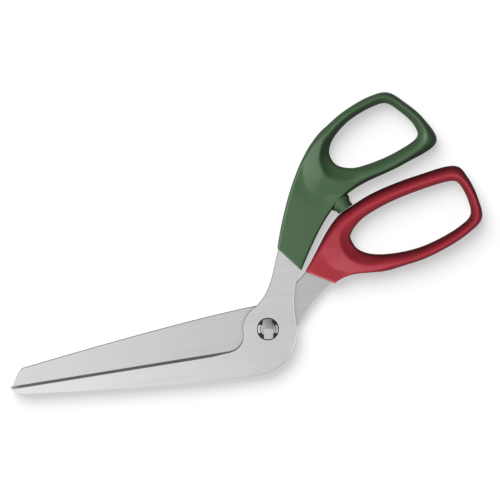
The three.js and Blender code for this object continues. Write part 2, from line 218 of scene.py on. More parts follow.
def inward(outline: np.ndarray) -> np.ndarray:
    """The inward normal at each point of a closed counter-clockwise outline.

    At a corner the vector is longer, so that both sides move in alike.
    """
    after = np.roll(outline, -1, axis=0) - outline
    before = outline - np.roll(outline, 1, axis=0)
    after /= np.linalg.norm(after, axis=1)[:, None]
    before /= np.linalg.norm(before, axis=1)[:, None]
    middle = after + before
    middle /= np.linalg.norm(middle, axis=1)[:, None]
    reach = np.clip(np.sum(middle * after, axis=1), 0.5, 1)[:, None]
    return np.stack([-middle[:, 1], middle[:, 0]], axis=1) / reach


def distance_to(places: np.ndarray, outline: np.ndarray) -> np.ndarray:
    """Distance from each of many points to a closed outline."""
    start = outline
    side = np.roll(outline, -1, axis=0) - start
    squared = np.sum(side * side, axis=1)
    best = np.full(len(places), np.inf)
    for origin, way, size in zip(start, side, squared):
        offset = places - origin
        share = np.clip(offset @ way / size, 0, 1)
        gap = offset - share[:, None] * way
        best = np.minimum(best, np.einsum("ij,ij->i", gap, gap))
    return np.sqrt(best)


def nearest(places: np.ndarray, outline: np.ndarray) -> np.ndarray:
    """Number of the outline's point that lies nearest to each of many places."""
    gap = np.linalg.norm(places[:, None] - outline[None], axis=2)
    return np.argmin(gap, axis=1)


def settled_grid(outer: np.ndarray, inner: np.ndarray, rows: int, rounds: int) -> np.ndarray:
    """Fills the band between two matched closed outlines with an even grid that nowhere folds over.

    Args:
        outer: The outer outline.
        inner: The inner outline, with as many points.
        rows: Number of steps from one to the other.
        rounds: How often the grid is evened out.

    Returns:
        One line of points from outside to inside for each point of the outlines.
    """
    share = np.linspace(0, 1, rows + 1)[None, :, None]
    grid = outer[:, None] * (1 - share) + inner[:, None] * share
    for _ in range(rounds):
        after, before = np.roll(grid, -1, axis=0), np.roll(grid, 1, axis=0)
        along = (after - before)[:, 1:-1] / 2
        across = (grid[:, 2:] - grid[:, :-2]) / 2
        wide = np.sum(across * across, axis=2, keepdims=True)
        long = np.sum(along * along, axis=2, keepdims=True)
        skew = np.sum(along * across, axis=2, keepdims=True)
        corner = (after[:, 2:] - before[:, 2:] - after[:, :-2] + before[:, :-2]) / 4
        lengthwise = wide * (after + before)[:, 1:-1]
        sideways = long * (grid[:, 2:] + grid[:, :-2])
        grid[:, 1:-1] = (lengthwise + sideways - 2 * skew * corner) / (2 * (wide + long))
    return grid


def ease_in_out(value: np.ndarray) -> np.ndarray:
    """0 below 0, 1 above 1 and a smooth rise between."""
    share = np.clip(value, 0, 1)
    return share * share * (3 - 2 * share)


def quarter_round(value: np.ndarray, fullness: float = 2.0) -> np.ndarray:
    """Height of a rounded rim, 0 at its foot and 1 from its own width inwards.

    Args:
        value: Distance in from the foot, as a share of the rim's width.
        fullness: 2 for a quarter of an ellipse, less for a leaner one.

    Returns:
        Heights as shares of the rim's height.
    """
    inside = np.clip(value, 0, 1)
    return (1 - (1 - inside) ** fullness) ** (1 / fullness)


# Meshes


def ring_of(
    form: bmesh.types.BMesh, places: np.ndarray, height: np.ndarray
) -> list[bmesh.types.BMEdge]:
    """Draws a closed ring of edges, the start of a lofted wall.

    Args:
        form: The mesh being built.
        places: The ring's plan.
        height: Its height at each point.

    Returns:
        The edges, in the order of the points.
    """
    corners = [form.verts.new((x, y, z)) for (x, y), z in zip(places, height)]
    return [form.edges.new((a, b)) for a, b in zip(corners, corners[1:] + corners[:1])]


def loft(
    form: bmesh.types.BMesh, rings: Sequence[tuple[np.ndarray, np.ndarray]]
) -> tuple[list[bmesh.types.BMEdge], list[bmesh.types.BMEdge]]:
    """Extrudes a ring of edges through a row of rings with as many points each.

    Args:
        form: The mesh being built.
        rings: The plan and the heights of each ring.

    Returns:
        The edges of the first ring and of the last.
    """
    first = ring_of(form, *rings[0])
    edges = first
    corners = [edge.verts[0] for edge in first]
    for places, height in rings[1:]:
        out = bmesh.ops.extrude_edge_only(form, edges=edges)["geom"]
        edges = [item for item in out if isinstance(item, bmesh.types.BMEdge)]
        fresh = {item for item in out if isinstance(item, bmesh.types.BMVert)}
        follow = []
        for corner in corners:
            others = (edge.other_vert(corner) for edge in corner.link_edges)
            follow.append(next(other for other in others if other in fresh))
        corners = follow
        for corner, (x, y), z in zip(corners, places, height):
            corner.co = (x, y, z)
    return first, edges


def cap(form: bmesh.types.BMesh, rims: Sequence[Sequence[bmesh.types.BMEdge]], up: float) -> None:
    """Fills the flat between a rim and the rims of the holes in it.

    Args:
        form: The mesh being built.
        rims: Edges of the outer rim and of each hole.
        up: 1 for a face that looks up, -1 for one that looks down.
    """
    edges = [edge for rim in rims for edge in rim]
    bmesh.ops.triangle_fill(form, use_beauty=True, edges=edges, normal=Vector((0, 0, up)))


def whole(form: bmesh.types.BMesh) -> list[Any]:
    """Everything in a mesh, for an operator that works on all of it."""
    return form.verts[:] + form.edges[:] + form.faces[:]


def spun(
    form: bmesh.types.BMesh,
    profile: Sequence[tuple[float, float, float]],
    axis: tuple[float, float, float],
    steps: int,
) -> None:
    """Turns a run of points once round an axis through the origin.

    Args:
        form: The mesh being built.
        profile: The points, the first and the last of them on the axis.
        axis: Direction of the axis.
        steps: Number of steps in the turn.
    """
    corners = [form.verts.new(place) for place in profile]
    edges = [form.edges.new(pair) for pair in zip(corners, corners[1:])]
    bmesh.ops.spin(
        form, geom=corners + edges, cent=(0, 0, 0), axis=axis,
        angle=2 * math.pi, steps=steps, use_merge=True,
    )
    bmesh.ops.remove_doubles(form, verts=form.verts, dist=WELD)


def sliced(
    form: bmesh.types.BMesh, place: Sequence[float], away: Sequence[float]
) -> list[bmesh.types.BMEdge]:
    """Cuts a mesh off at a plane and closes it there.

    Args:
        form: The mesh being built.
        place: A point of the plane.
        away: The plane's normal, towards the part that goes.

    Returns:
        The edges round the cut.
    """
    bmesh.ops.bisect_plane(
        form, geom=whole(form), plane_co=place, plane_no=away, clear_outer=True
    )
    rim = [edge for edge in form.edges if edge.is_boundary]
    bmesh.ops.holes_fill(form, edges=rim, sides=0)
    return rim


def rounded_off(
    form: bmesh.types.BMesh, edges: Sequence[bmesh.types.BMEdge], width: float
) -> None:
    """Rounds some edges of a mesh off by a width."""
    bmesh.ops.bevel(
        form, geom=edges, offset=width, segments=3, profile=0.5,
        affect="EDGES", material=-1, clamp_overlap=True,
    )


def finished(form: bmesh.types.BMesh, name: str, smooth_below: float = 30) -> bpy.types.Object:
    """Turns a closed bmesh into an object at the origin, in metres.

    Args:
        form: The mesh, in millimetres. It is freed.
        name: Name of the new piece.
        smooth_below: Edges that turn by less than this many degrees are shaded smooth.

    Returns:
        The new object.
    """
    bmesh.ops.remove_doubles(form, verts=form.verts, dist=WELD)
    bmesh.ops.recalc_face_normals(form, faces=form.faces)
    limit = math.radians(smooth_below)
    for edge in form.edges:
        edge.smooth = len(edge.link_faces) == 2 and edge.calc_face_angle(0) < limit
    for face in form.faces:
        face.smooth = True
    bmesh.ops.scale(form, vec=Vector((MM, MM, MM)), verts=form.verts)
    mesh = bpy.data.meshes.new(name)
    form.to_mesh(mesh)
    form.free()
    piece = bpy.data.objects.new(name, mesh)
    bpy.context.scene.collection.objects.link(piece)
    return piece


def paint(piece: bpy.types.Object, name: str, shares: np.ndarray) -> None:
    """Stores a number for each of a piece's vertices, for its finish to read."""
    layer = piece.data.attributes.new(name, "FLOAT", "POINT")
    layer.data.foreach_set("value", shares.astype(np.float32))


def steepness(piece: bpy.types.Object) -> np.ndarray:
    """How far each corner's surface leans: 0 where it lies flat and 1 where it is upright."""
    facing = np.array([corner.normal.z for corner in piece.data.vertices])
    return 1 - facing**2


def paint_faces(piece: bpy.types.Object, name: str, shares: np.ndarray) -> None:
    """Stores a number for each of a piece's faces, for marks with a crisp border."""
    layer = piece.data.attributes.new(name, "FLOAT", "FACE")
    layer.data.foreach_set("value", shares.astype(np.float32))


def places_of(piece: bpy.types.Object) -> np.ndarray:
    """Where a piece's vertices are, in millimetres."""
    flat = np.empty(len(piece.data.vertices) * 3)
    piece.data.vertices.foreach_get("co", flat)
    return flat.reshape(-1, 3) / MM


def faces_of(piece: bpy.types.Object) -> tuple[np.ndarray, np.ndarray]:
    """Middles of a piece's faces, in millimetres, and how far each faces up, from -1 to 1."""
    middles = np.array([face.center[:] for face in piece.data.polygons]) / MM
    return middles, np.array([face.normal.z for face in piece.data.polygons])


# Shader nodes


class Signal:
    """A shader socket that takes part in Python's sums."""

    def __init__(self, bench: "Bench", socket: bpy.types.NodeSocket) -> None:
        """Wraps a socket of the bench's node tree."""
        self.bench = bench
        self.socket = socket

    def __add__(self, other: "Value") -> "Signal":
        """This value plus another."""
        return self.bench.sum("ADD", self, other)

    __radd__ = __add__

    def __mul__(self, other: "Value") -> "Signal":
        """This value times another."""
        return self.bench.sum("MULTIPLY", self, other)

    __rmul__ = __mul__

    def __sub__(self, other: "Value") -> "Signal":
        """This value less another."""
        return self.bench.sum("SUBTRACT", self, other)

    def __rsub__(self, other: "Value") -> "Signal":
        """Another value less this one."""
        return self.bench.sum("SUBTRACT", other, self)

    def __truediv__(self, other: "Value") -> "Signal":
        """This value over another."""
        return self.bench.sum("DIVIDE", self, other)

    def __pow__(self, other: "Value") -> "Signal":
        """This value to a power."""
        return self.bench.sum("POWER", self, other)

    def clamped(self) -> "Signal":
        """This value held between 0 and 1."""
        node = self.bench.node("ShaderNodeClamp", inputs={"Value": self})
        return self.bench.out(node, "Result")


Value = Union[Signal, float, Sequence[float]]
Inputs = dict[Union[str, int], Value]


class Bench:
    """A node tree, with the few tools that fill it."""

    def __init__(self, tree: bpy.types.NodeTree) -> None:
        """Clears the tree."""
        self.tree = tree
        tree.nodes.clear()

    def node(
        self,
        kind: str,
        settings: Optional[dict[str, Any]] = None,
        inputs: Optional[Inputs] = None,
    ) -> bpy.types.Node:
        """Adds a node.

        Args:
            kind: Blender's name for the type of node.
            settings: Its own settings, set first.
            inputs: A number, colour, vector or signal for each socket, by name or number.

        Returns:
            The new node.
        """
        made = self.tree.nodes.new(kind)
        for name, setting in (settings or {}).items():
            setattr(made, name, setting)
        for name, value in (inputs or {}).items():
            socket = made.inputs[name]
            if isinstance(value, Signal):
                self.tree.links.new(value.socket, socket)
            elif socket.type == "RGBA":
                socket.default_value = (*value[:3], 1)
            else:
                socket.default_value = value
        return made

    def out(self, node: bpy.types.Node, name: Union[str, int] = 0) -> Signal:
        """One of a node's outputs as a signal."""
        return Signal(self, node.outputs[name])

    def sum(self, operation: str, first: Value, second: Value) -> Signal:
        """A Math node on two values."""
        settings = {"operation": operation}
        return self.out(self.node("ShaderNodeMath", settings, {0: first, 1: second}))

    def place(self) -> Signal:
        """Object coordinates, in metres."""
        return self.out(self.node("ShaderNodeTexCoord"), "Object")

    def stretched(self, scale: Sequence[float]) -> Signal:
        """Object coordinates scaled by a factor along each axis."""
        inputs: Inputs = {"Vector": self.place(), "Scale": tuple(scale)}
        return self.out(self.node("ShaderNodeMapping", inputs=inputs))

    def axis(self, vector: Signal, name: str) -> Signal:
        """One part of a vector."""
        return self.out(self.node("ShaderNodeSeparateXYZ", inputs={0: vector}), name)

    def joined(self, x: Value, y: Value, z: Value) -> Signal:
        """A vector made of three values."""
        return self.out(self.node("ShaderNodeCombineXYZ", inputs={0: x, 1: y, 2: z}))

    def grain(
        self, vector: Signal, scale: float, detail: float = 2.0, roughness: float = 0.5
    ) -> Signal:
        """Noise from 0 to 1 in space.

        Args:
            vector: Where the noise is read.
            scale: How fine it is.
            detail: How many finer layers of noise are added.
            roughness: How strong each finer layer is.

        Returns:
            The noise.
        """
        inputs: Inputs = {
            "Vector": vector, "Scale": scale, "Detail": detail, "Roughness": roughness,
        }
        return self.out(self.node("ShaderNodeTexNoise", inputs=inputs), 0)

    def ramp(self, value: Signal, start: float, end: float) -> Signal:
        """A value turned into 0 at start, 1 at end and a smooth rise between."""
        settings = {"interpolation_type": "SMOOTHSTEP"}
        inputs: Inputs = {"Value": value, "From Min": start, "From Max": end}
        return self.out(self.node("ShaderNodeMapRange", settings, inputs))

    def attribute(self, name: str) -> Signal:
        """A number stored on the piece's vertices or faces."""
        return self.out(self.node("ShaderNodeAttribute", {"attribute_name": name}), "Fac")

    def mix(self, share: Value, first: Value, second: Value) -> Signal:
        """A blend of two colours."""
        settings = {"data_type": "RGBA"}
        return self.out(self.node("ShaderNodeMix", settings, {0: share, 6: first, 7: second}), 2)

    def shaded(self, colour: Value, light: Signal) -> Signal:
        """A colour made lighter or darker by a factor."""
        settings = {"operation": "MULTIPLY"}
        return self.out(self.node("ShaderNodeVectorMath", settings, {0: colour, 1: light}))

    def bump(self, height: Signal, depth: float, strength: float) -> Signal:
        """A normal roughened by a height.

        Args:
            height: The relief, from 0 to 1.
            depth: What 1 stands for, in metres.
            strength: How much of the relief shows.

        Returns:
            The normal.
        """
        inputs: Inputs = {"Height": height, "Distance": depth, "Strength": strength}
        return self.out(self.node("ShaderNodeBump", inputs=inputs))

    def principled(self, inputs: Inputs) -> None:
        """Ends a material in a Principled surface with some inputs."""
        surface = self.node("ShaderNodeBsdfPrincipled", inputs=inputs)
        self.node("ShaderNodeOutputMaterial", inputs={"Surface": self.out(surface)})


def new_material(name: str) -> tuple[bpy.types.Material, Bench]:
    """An empty material and the bench of its node tree."""
    material = bpy.data.materials.new(name)
    material.use_nodes = True
    return material, Bench(material.node_tree)


def dress(piece: bpy.types.Object, material: bpy.types.Material) -> None:
    """Gives a piece its one material."""
    piece.data.materials.clear()
    piece.data.materials.append(material)


# Finishes


class Lay(Enum):
    """Which way the fine marks of a steel finish run."""

    ALONG = "along the blade"
    ROUND = "round the pivot"


@dataclass(frozen=True)
class SteelFinish:
    """Steel with fine marks from belt or lathe.

    Its colour varies by the lights and its roughness by the roughnesses; between the two places
    given in metres along the blade its colour is darkened by a share, which is painted shade.
    """

    name: str
    colour: Colour
    lay: Lay = Lay.ALONG
    roughness: float = 0.34
    # darker partly for the coarser grinding and partly as a painted dark reflection
    ground_colour: Colour = (0.42, 0.405, 0.41)
    ground_roughness: float = 0.42
    mark_length: float = 0.035
    mark_width: float = 0.00035
    band_width: float = 0.0022
    mark_depth: float = 0.000006
    mark_relief: float = 0.5
    cloud_scale: float = 45.0
    least_light: float = 0.835
    mark_light: float = 0.15
    band_light: float = 0.12
    cloud_light: float = 0.06
    ground_least_light: float = 0.8
    ground_mark_light: float = 0.4
    roughness_dip: float = 0.1
    mark_roughness: float = 0.14
    band_roughness: float = 0.06
    dim: float = 0.0
    dim_from: float = 0.005
    dim_to: float = 0.014

    def marks(self, bench: Bench, width: float, length: float, detail: float) -> Signal:
        """Noise drawn out along the lay of the finish.

        Args:
            bench: The bench of the material.
            width: Width of a mark, in metres.
            length: Length of a mark along the blade, in metres.
            detail: How many finer layers of noise are added.

        Returns:
            Noise from 0 to 1.
        """
        if self.lay is Lay.ALONG:
            return bench.grain(bench.stretched((1 / length, 1 / width, 1 / width)), 1.0, detail)
        place = bench.place()
        x, y, z = (bench.axis(place, name) for name in "XYZ")
        radius = (x * x + y * y) ** 0.5
        return bench.grain(bench.joined(radius / width, 0.0, z / width), 1.0, detail)

    def material(self) -> bpy.types.Material:
        """The finish as a material; it reads the attributes ground and shade."""
        material, bench = new_material(self.name)
        fine = self.marks(bench, self.mark_width, self.mark_length, 3.0)
        band = self.marks(bench, self.band_width, self.mark_length * 2, 1.0)
        cloud = bench.grain(bench.place(), self.cloud_scale, 2.0)
        ground = bench.attribute("ground")
        shade = bench.attribute("shade")
        light = self.least_light + fine * self.mark_light + band * self.band_light
        light = light + cloud * self.cloud_light
        # painted shade: the colour darkens along the blade, where the light falls off
        if self.dim:
            along = bench.axis(bench.place(), "X")
            light = light * (1 - self.dim * bench.ramp(along, self.dim_from, self.dim_to))
        bright = bench.shaded(self.colour, light)
        # the ground bevel is darker partly for its coarser grinding and partly as a painted dark
        # reflection
        ground_light = self.ground_least_light + fine * self.ground_mark_light
        ground_shaded = bench.shaded(self.ground_colour, ground_light)
        colour = bench.mix(ground, bright, ground_shaded)
        roughness = self.roughness - self.roughness_dip + fine * self.mark_roughness
        roughness = roughness + band * self.band_roughness
        roughness = roughness + ground * (self.ground_roughness - self.roughness)
        bench.principled({
            "Base Color": bench.shaded(colour, 1 - shade),
            "Metallic": 1.0,
            "Roughness": roughness.clamped(),
            "Normal": bench.bump(fine, self.mark_depth, self.mark_relief),
        })
        return material


@dataclass(frozen=True)
class PlasticFinish:
    """Satin moulded plastic, worn paler along some edges, which also serves as a painted highlight.

    Its colour varies by the lights and its roughness by the roughnesses. The painted shade darkens
    its colour and adds some roughness; the worn paler part takes some roughness off.
    """

    name: str
    colour: Colour
    worn_highlight: Colour
    roughness: float = 0.54
    sheen_level: float = 0.3
    speckle_size: float = 0.00045
    speckle_depth: float = 0.00001
    patch_size: float = 0.03
    speckle_relief: float = 0.45
    scuff_scale: tuple[float, float, float] = (260, 900, 500)
    scuff_roughness: float = 0.6
    scuff_from: float = 0.3
    scuff_to: float = 0.75
    least_light: float = 0.9
    patch_light: float = 0.16
    speckle_light: float = 0.05
    roughness_dip: float = 0.06
    patch_roughness: float = 0.1
    speckle_roughness: float = 0.06
    wear_roughness: float = 0.06
    shade_roughness: float = 0.5

    def material(self) -> bpy.types.Material:
        """The finish as a material; it reads the attributes edge, the worn highlight, and shade, the
        painted shade.
        """
        material, bench = new_material(self.name)
        place = bench.place()
        speckle = bench.grain(place, 1 / self.speckle_size, 2.0)
        patch = bench.grain(place, 1 / self.patch_size, 3.0)
        scuff = bench.grain(bench.stretched(self.scuff_scale), 1.0, 3.0, self.scuff_roughness)
        edge = bench.attribute("edge")
        shade = bench.attribute("shade")
        light = self.least_light + patch * self.patch_light + speckle * self.speckle_light
        base = bench.shaded(self.colour, light)
        # worn paler, partly as a painted highlight
        wear_and_highlight = edge * bench.ramp(scuff, self.scuff_from, self.scuff_to)
        colour = bench.mix(wear_and_highlight, base, self.worn_highlight)
        roughness = self.roughness - self.roughness_dip + patch * self.patch_roughness
        roughness = roughness + speckle * self.speckle_roughness
        roughness = roughness - wear_and_highlight * self.wear_roughness + shade * self.shade_roughness
        bench.principled({
            "Base Color": bench.shaded(colour, 1 - shade),
            "Roughness": roughness.clamped(),
            "Normal": bench.bump(speckle, self.speckle_depth, self.speckle_relief),
            "IOR": 1.5,
            "Specular IOR Level": self.sheen_level,
        })
        return material


# the blade steel is painted darker towards the pivot, as shade
BLADE_STEEL = SteelFinish(
    "brushed_blade_steel", (0.7, 0.684, 0.689), dim=0.06, dim_from=-0.035, dim_to=0.005
)
# the blade steel again, painted darker as shade for the rear blade, and darker still towards its
# tang
REAR_STEEL = SteelFinish("brushed_rear_blade_steel", (0.62, 0.605, 0.61), dim=0.12)
PIVOT_STEEL = SteelFinish("turned_pivot_steel", (0.62, 0.61, 0.62), Lay.ROUND, roughness=0.28)
WASHER_STEEL = SteelFinish("spring_washer_steel", (0.5, 0.49, 0.5), Lay.ROUND, roughness=0.3)
GREEN_PLASTIC = PlasticFinish(
    "green_satin_plastic",
    (0.046, 0.103, 0.042),
    (0.13, 0.25, 0.13),
    roughness=0.45,
    sheen_level=0.4,
)
RED_PLASTIC = PlasticFinish("red_satin_plastic", (0.37, 0.022, 0.038), (0.6, 0.2, 0.22))
STEEP_SHADE = 0.57  # painted shade: how much darker plastic is where it stands upright


# Sizes that several pieces share


@dataclass(frozen=True)
class Stack:
    """Heights of what lies on the pivot, from the nut's outer face."""

    nut: float = 2.4
    seat_gap: float = 0.1
    stock: float = 2.5
    running_gap: float = 0.3
    recess_depth: float = 1.4
    washer: float = 0.5

    @property
    def rear_bottom(self) -> float:
        """Back face of the rear blade."""
        return self.nut + self.seat_gap

    @property
    def rear_top(self) -> float:
        """Face of the rear blade towards the front one."""
        return self.rear_bottom + self.stock

    @property
    def front_bottom(self) -> float:
        """Face of the front blade towards the rear one."""
        return self.rear_top + self.running_gap

    @property
    def front_top(self) -> float:
        """Outer face of the front blade."""
        return self.front_bottom + self.stock

    @property
    def middle(self) -> float:
        """Halfway between the blades, where both handles are centred."""
        return (self.rear_top + self.front_bottom) / 2

    @property
    def recess_floor(self) -> float:
        """Floor of the front blade's round recess."""
        return self.front_top - self.recess_depth

    @property
    def hub_bottom(self) -> float:
        """Underside of the bolt's head."""
        return self.recess_floor + self.washer + 2 * self.seat_gap


STACK = Stack()


@dataclass(frozen=True)
class Knot:
    """A point of a finger loop's opening, and the section of plastic outside it.

    The point is given by shares of the loop's half length and half width, the ridge by its distance
    from the opening, the bowl by how far the inner side is dished, from 0 to 1, and the wall, where
    there is bow, as a share of the usual one.
    """

    along: float
    across: float
    ridge: float
    bowl: float = 0.0
    wall: float = 0.0


@dataclass(frozen=True)
class Side:
    """How one side of a handle runs from the mouth to the bow."""

    way: float
    mouth_pull: float
    bow_pull: float


@dataclass(frozen=True)
class Slope:
    """Where a handle rises to the bow: behind a round front, between two lines that run off."""

    centre: tuple[float, float]
    radius: float
    right: float
    left: float


@dataclass
class Handle:
    """A moulded handle: a flat lever that rises to a rounded bow round the fingers.

    Round the slope's front, in degrees, the dip before its foot sets in from crisp_from on, over
    crisp_over, and the foot turns gentle from soft_from on, over soft_over.
    """

    name: str
    node: str
    body: str
    finish: PlasticFinish
    slot: str
    mouth_left: tuple[float, float]
    mouth_right: tuple[float, float]
    loop_near: tuple[float, float]
    loop_length: float
    loop_width: float
    usual_wall: float
    knots: tuple[Knot, ...]
    right_side: Side
    left_side: Side
    slope: Slope
    loop_turn: float = 12.0
    skin: float = 0.03
    lever_half: float = 4.5
    bow_half: float = 6.0
    lever_edge: float = 1.3
    mouth_edge: float = 0.8
    left_run: float = 34.0
    right_run: float = 34.0
    ramp_width: float = 10.5
    ramp_curve: float = 1.25
    soft_width: float = 18.0
    soft_start: float = 6.0
    crisp_from: float = 150.0
    crisp_over: float = 50.0
    soft_from: float = 255.0
    soft_over: float = 60.0
    valley_depth: float = 0.55
    valley_width: float = 9.0
    bowl_floor: float = 0.34
    bowl_curve: float = 1.5
    crest_soft: float = 0.9
    bow_fullness: float = 1.85
    ridge_settling: int = 5
    bowl_rim: float = 1.6
    mouth_blend: float = 3.0
    mouth_step: float = 0.7
    worn_highlight_width: float = 0.9
    worn_highlight_level: float = 0.8
    worn_highlight_reach: float = 14.0
    worn_highlight_hold: float = 0.3
    step: float = 1.15
    rows: int = 66
    wall_rows: int = 12
    outer_row: float = 0.5
    outer_growth: float = 0.05
    inner_row: float = 0.7
    inner_growth: float = 0.045
    samples: int = 150
    curve_points: int = 400
    side_steps: int = 200
    grid_rows: int = 28
    grid_rounds: int = 700

    def opening_knots(self) -> np.ndarray:
        """The points that the loop's opening passes through."""
        along = heading(self.loop_turn)
        across = heading(self.loop_turn + 90)
        centre = point(*self.loop_near) + along * self.loop_length / 2
        u = np.array([[knot.along * self.loop_length / 2] for knot in self.knots])
        v = np.array([[knot.across * self.loop_width / 2] for knot in self.knots])
        return centre + u * along + v * across

    def bow_range(self) -> tuple[int, int]:
        """Numbers of the first and the last knot that have bow outside them."""
        walled = [number for number, knot in enumerate(self.knots) if knot.wall]
        return walled[0], walled[-1]

    def bow_knots(self) -> np.ndarray:
        """The points that the outside of the bow passes through."""
        knots = self.opening_knots()
        first, last = self.bow_range()
        places = np.arange(first, last + 1, dtype=float)
        nudge = 1e-3
        way = spline(knots, places + nudge, True) - spline(knots, places - nudge, True)
        way /= np.linalg.norm(way, axis=1)[:, None]
        walled = self.knots[first : last + 1]
        wall = np.array([[knot.wall * self.usual_wall - self.skin] for knot in walled])
        return knots[first : last + 1] + np.stack([way[:, 1], -way[:, 0]], axis=1) * wall

    def lever_run(self) -> tuple[np.ndarray, int, int]:
        """The outside of the lever, from the bow's left end round the mouth to its right end.

        Returns:
            The run's points, and the numbers of the mouth's left and right corner in it.
        """
        bow = self.bow_knots()
        nudge = 0.02
        start_way = spline(bow, np.array([nudge]), False)[0] - bow[0]
        end_way = bow[-1] - spline(bow, np.array([len(bow) - 1 - nudge]), False)[0]
        start_way /= np.linalg.norm(start_way)
        end_way /= np.linalg.norm(end_way)
        left, right = point(*self.mouth_left), point(*self.mouth_right)
        to_bow = easing(
            right, heading(self.right_side.way), self.right_side.mouth_pull,
            bow[0], start_way, self.right_side.bow_pull, self.side_steps,
        )
        to_mouth = easing(
            bow[-1], end_way, self.left_side.bow_pull,
            left, heading(self.left_side.way + 180), self.left_side.mouth_pull, self.side_steps,
        )
        to_mouth, to_bow = spaced(to_mouth, self.step), spaced(to_bow, self.step)
        across = spaced(np.array([left, right]), self.step * self.mouth_step)
        first_corner = len(to_mouth) - 1
        last_corner = first_corner + len(across) - 1
        return np.vstack([to_mouth[:-1], across[:-1], to_bow]), first_corner, last_corner

    def outer_edge(
        self, outer: np.ndarray, bow_edge: np.ndarray, travel: np.ndarray, mouth: tuple[int, int]
    ) -> tuple[np.ndarray, np.ndarray]:
        """The rounded outer edge: the bow's own, then the lever's and the fine one of the mouth.

        Args:
            outer: Points round the outside, those of the bow first.
            bow_edge: Width outside the ridge at each point.
            travel: Distance along the lever, at each of its points and back at the bow.
            mouth: Numbers of the mouth's left and right corner.

        Returns:
            The edge's width and its share of the height at each point.
        """
        in_bow = len(outer) - len(travel) + 1
        past_left = ease_in_out(travel[:-1] / self.left_run)
        past_right = ease_in_out((travel[-1] - travel[:-1]) / self.right_run)
        fade = np.zeros(len(outer))
        fade[in_bow:] = np.minimum(past_left, past_right)
        start_edge, end_edge = bow_edge[0], bow_edge[in_bow]
        side_edge = end_edge + (start_edge - end_edge) * np.linspace(0, 1, len(outer) - in_bow)
        edge = np.concatenate([bow_edge[:in_bow], side_edge])
        edge = edge * (1 - fade) + self.lever_edge * fade
        depth = (1 - fade) + self.lever_edge / self.lever_half * fade
        marks = travelled(outer)
        away = np.maximum(np.maximum(marks[mouth[0]] - marks, marks - marks[mouth[1]]), 0)
        near = 1 - ease_in_out(away / self.mouth_blend)
        edge = edge * (1 - near) + self.mouth_edge * near
        depth = depth * (1 - near) + self.mouth_edge / self.lever_half * near
        return edge, depth

    def stations(self) -> dict[str, np.ndarray]:
        """Matched points round the outside and the opening, and the section at each pair.

        Returns:
            Arrays with one row for each station: outer and inner points, the ridge's distance from
            the opening, the share of bowl in the inner side, and the width and share of height of
            the rounded outer edge.
        """
        first, last = self.bow_range()
        hole = self.opening_knots()
        bow_places = np.linspace(0, last - first, self.curve_points)
        bow_line = spline(self.bow_knots(), bow_places, False)
        bow_run = spaced(np.column_stack([bow_line, bow_places + first]), self.step)
        lever, left_corner, right_corner = self.lever_run()
        travel = travelled(lever)
        near = np.linspace(last, first + len(hole), self.curve_points)
        near_travel = travelled(spline(hole, near, True))
        lever_places = np.interp(travel / travel[-1] * near_travel[-1], near_travel, near)
        outer = np.vstack([bow_run[:-1, :2], lever[:-1]])
        places = np.concatenate([bow_run[:-1, 2], lever_places[:-1]])
        inner = spline(hole, places, True)
        ridge = swell([knot.ridge for knot in self.knots], places)
        around = range(-self.ridge_settling, self.ridge_settling + 1)
        ridge = np.mean([np.roll(ridge, shift) for shift in around], axis=0)
        bowl = swell([knot.bowl for knot in self.knots], places)
        bow_edge = np.linalg.norm(outer - inner, axis=1) - ridge
        in_bow = len(bow_run) - 1
        mouth = (in_bow + left_corner, in_bow + right_corner)
        edge, depth = self.outer_edge(outer, bow_edge, travel, mouth)
        return {
            "outer": outer, "inner": inner, "ridge": ridge, "bowl": bowl,
            "edge": edge, "depth": depth,
        }

    def rise(self, places: np.ndarray) -> np.ndarray:
        """How far each point lies inside the part of the plan that rises to the bow.

        Args:
            places: Points of the plan.

        Returns:
            Distances, negative outside it.
        """
        slope = self.slope
        offset = places - point(*slope.centre)
        right_way, left_way = heading(slope.right), heading(slope.left)
        right_normal, left_normal = heading(slope.right + 90), heading(slope.left - 90)
        from_right = offset @ right_normal + slope.radius
        from_left = offset @ left_normal + slope.radius
        from_round = slope.radius - np.linalg.norm(offset, axis=1)
        behind = (offset @ right_way < 0) & (offset @ left_way < 0)
        inside_right = offset @ right_way >= 0
        inside_left = offset @ left_way >= 0
        value = np.where(behind, from_round, np.minimum(from_right, from_left))
        value = np.where(inside_right & ~inside_left, np.maximum(from_round, from_right), value)
        value = np.where(inside_left & ~inside_right, np.maximum(from_round, from_left), value)
        return value

    def top(self, places: np.ndarray) -> np.ndarray:
        """Height of the lever and the slope above the middle, before their edges are rounded.

        The slope starts at a crisp foot in the middle, behind a shallow dip, and gently at both
        ends.

        Args:
            places: Points of the plan.

        Returns:
            One height for each point.
        """
        slope = self.slope
        rise = self.rise(places)
        offset = places - point(*slope.centre)
        turn = np.degrees(np.arctan2(offset[:, 1], offset[:, 0])) % 360
        to_right = ease_in_out((turn - self.soft_from) / self.soft_over)
        to_right = np.where(turn < slope.left, 1, to_right)
        to_left = 1 - ease_in_out((turn - self.crisp_from) / self.crisp_over)
        crisp = 1 - to_right
        sharp = 1 - (1 - np.clip(rise / self.ramp_width, 0, 1)) ** self.ramp_curve
        gentle = ease_in_out((rise + self.soft_start) / self.soft_width)
        climb = sharp * crisp + gentle * (1 - crisp)
        ahead = np.clip(-rise / self.valley_width, 0, 1)
        hollow = np.where(rise < 0, (1 - ahead) ** 2 * (1 + 2 * ahead), 1 - sharp)
        dip = hollow * crisp * (1 - to_left)
        return self.lever_half + (self.bow_half - self.lever_half) * climb - self.valley_depth * dip

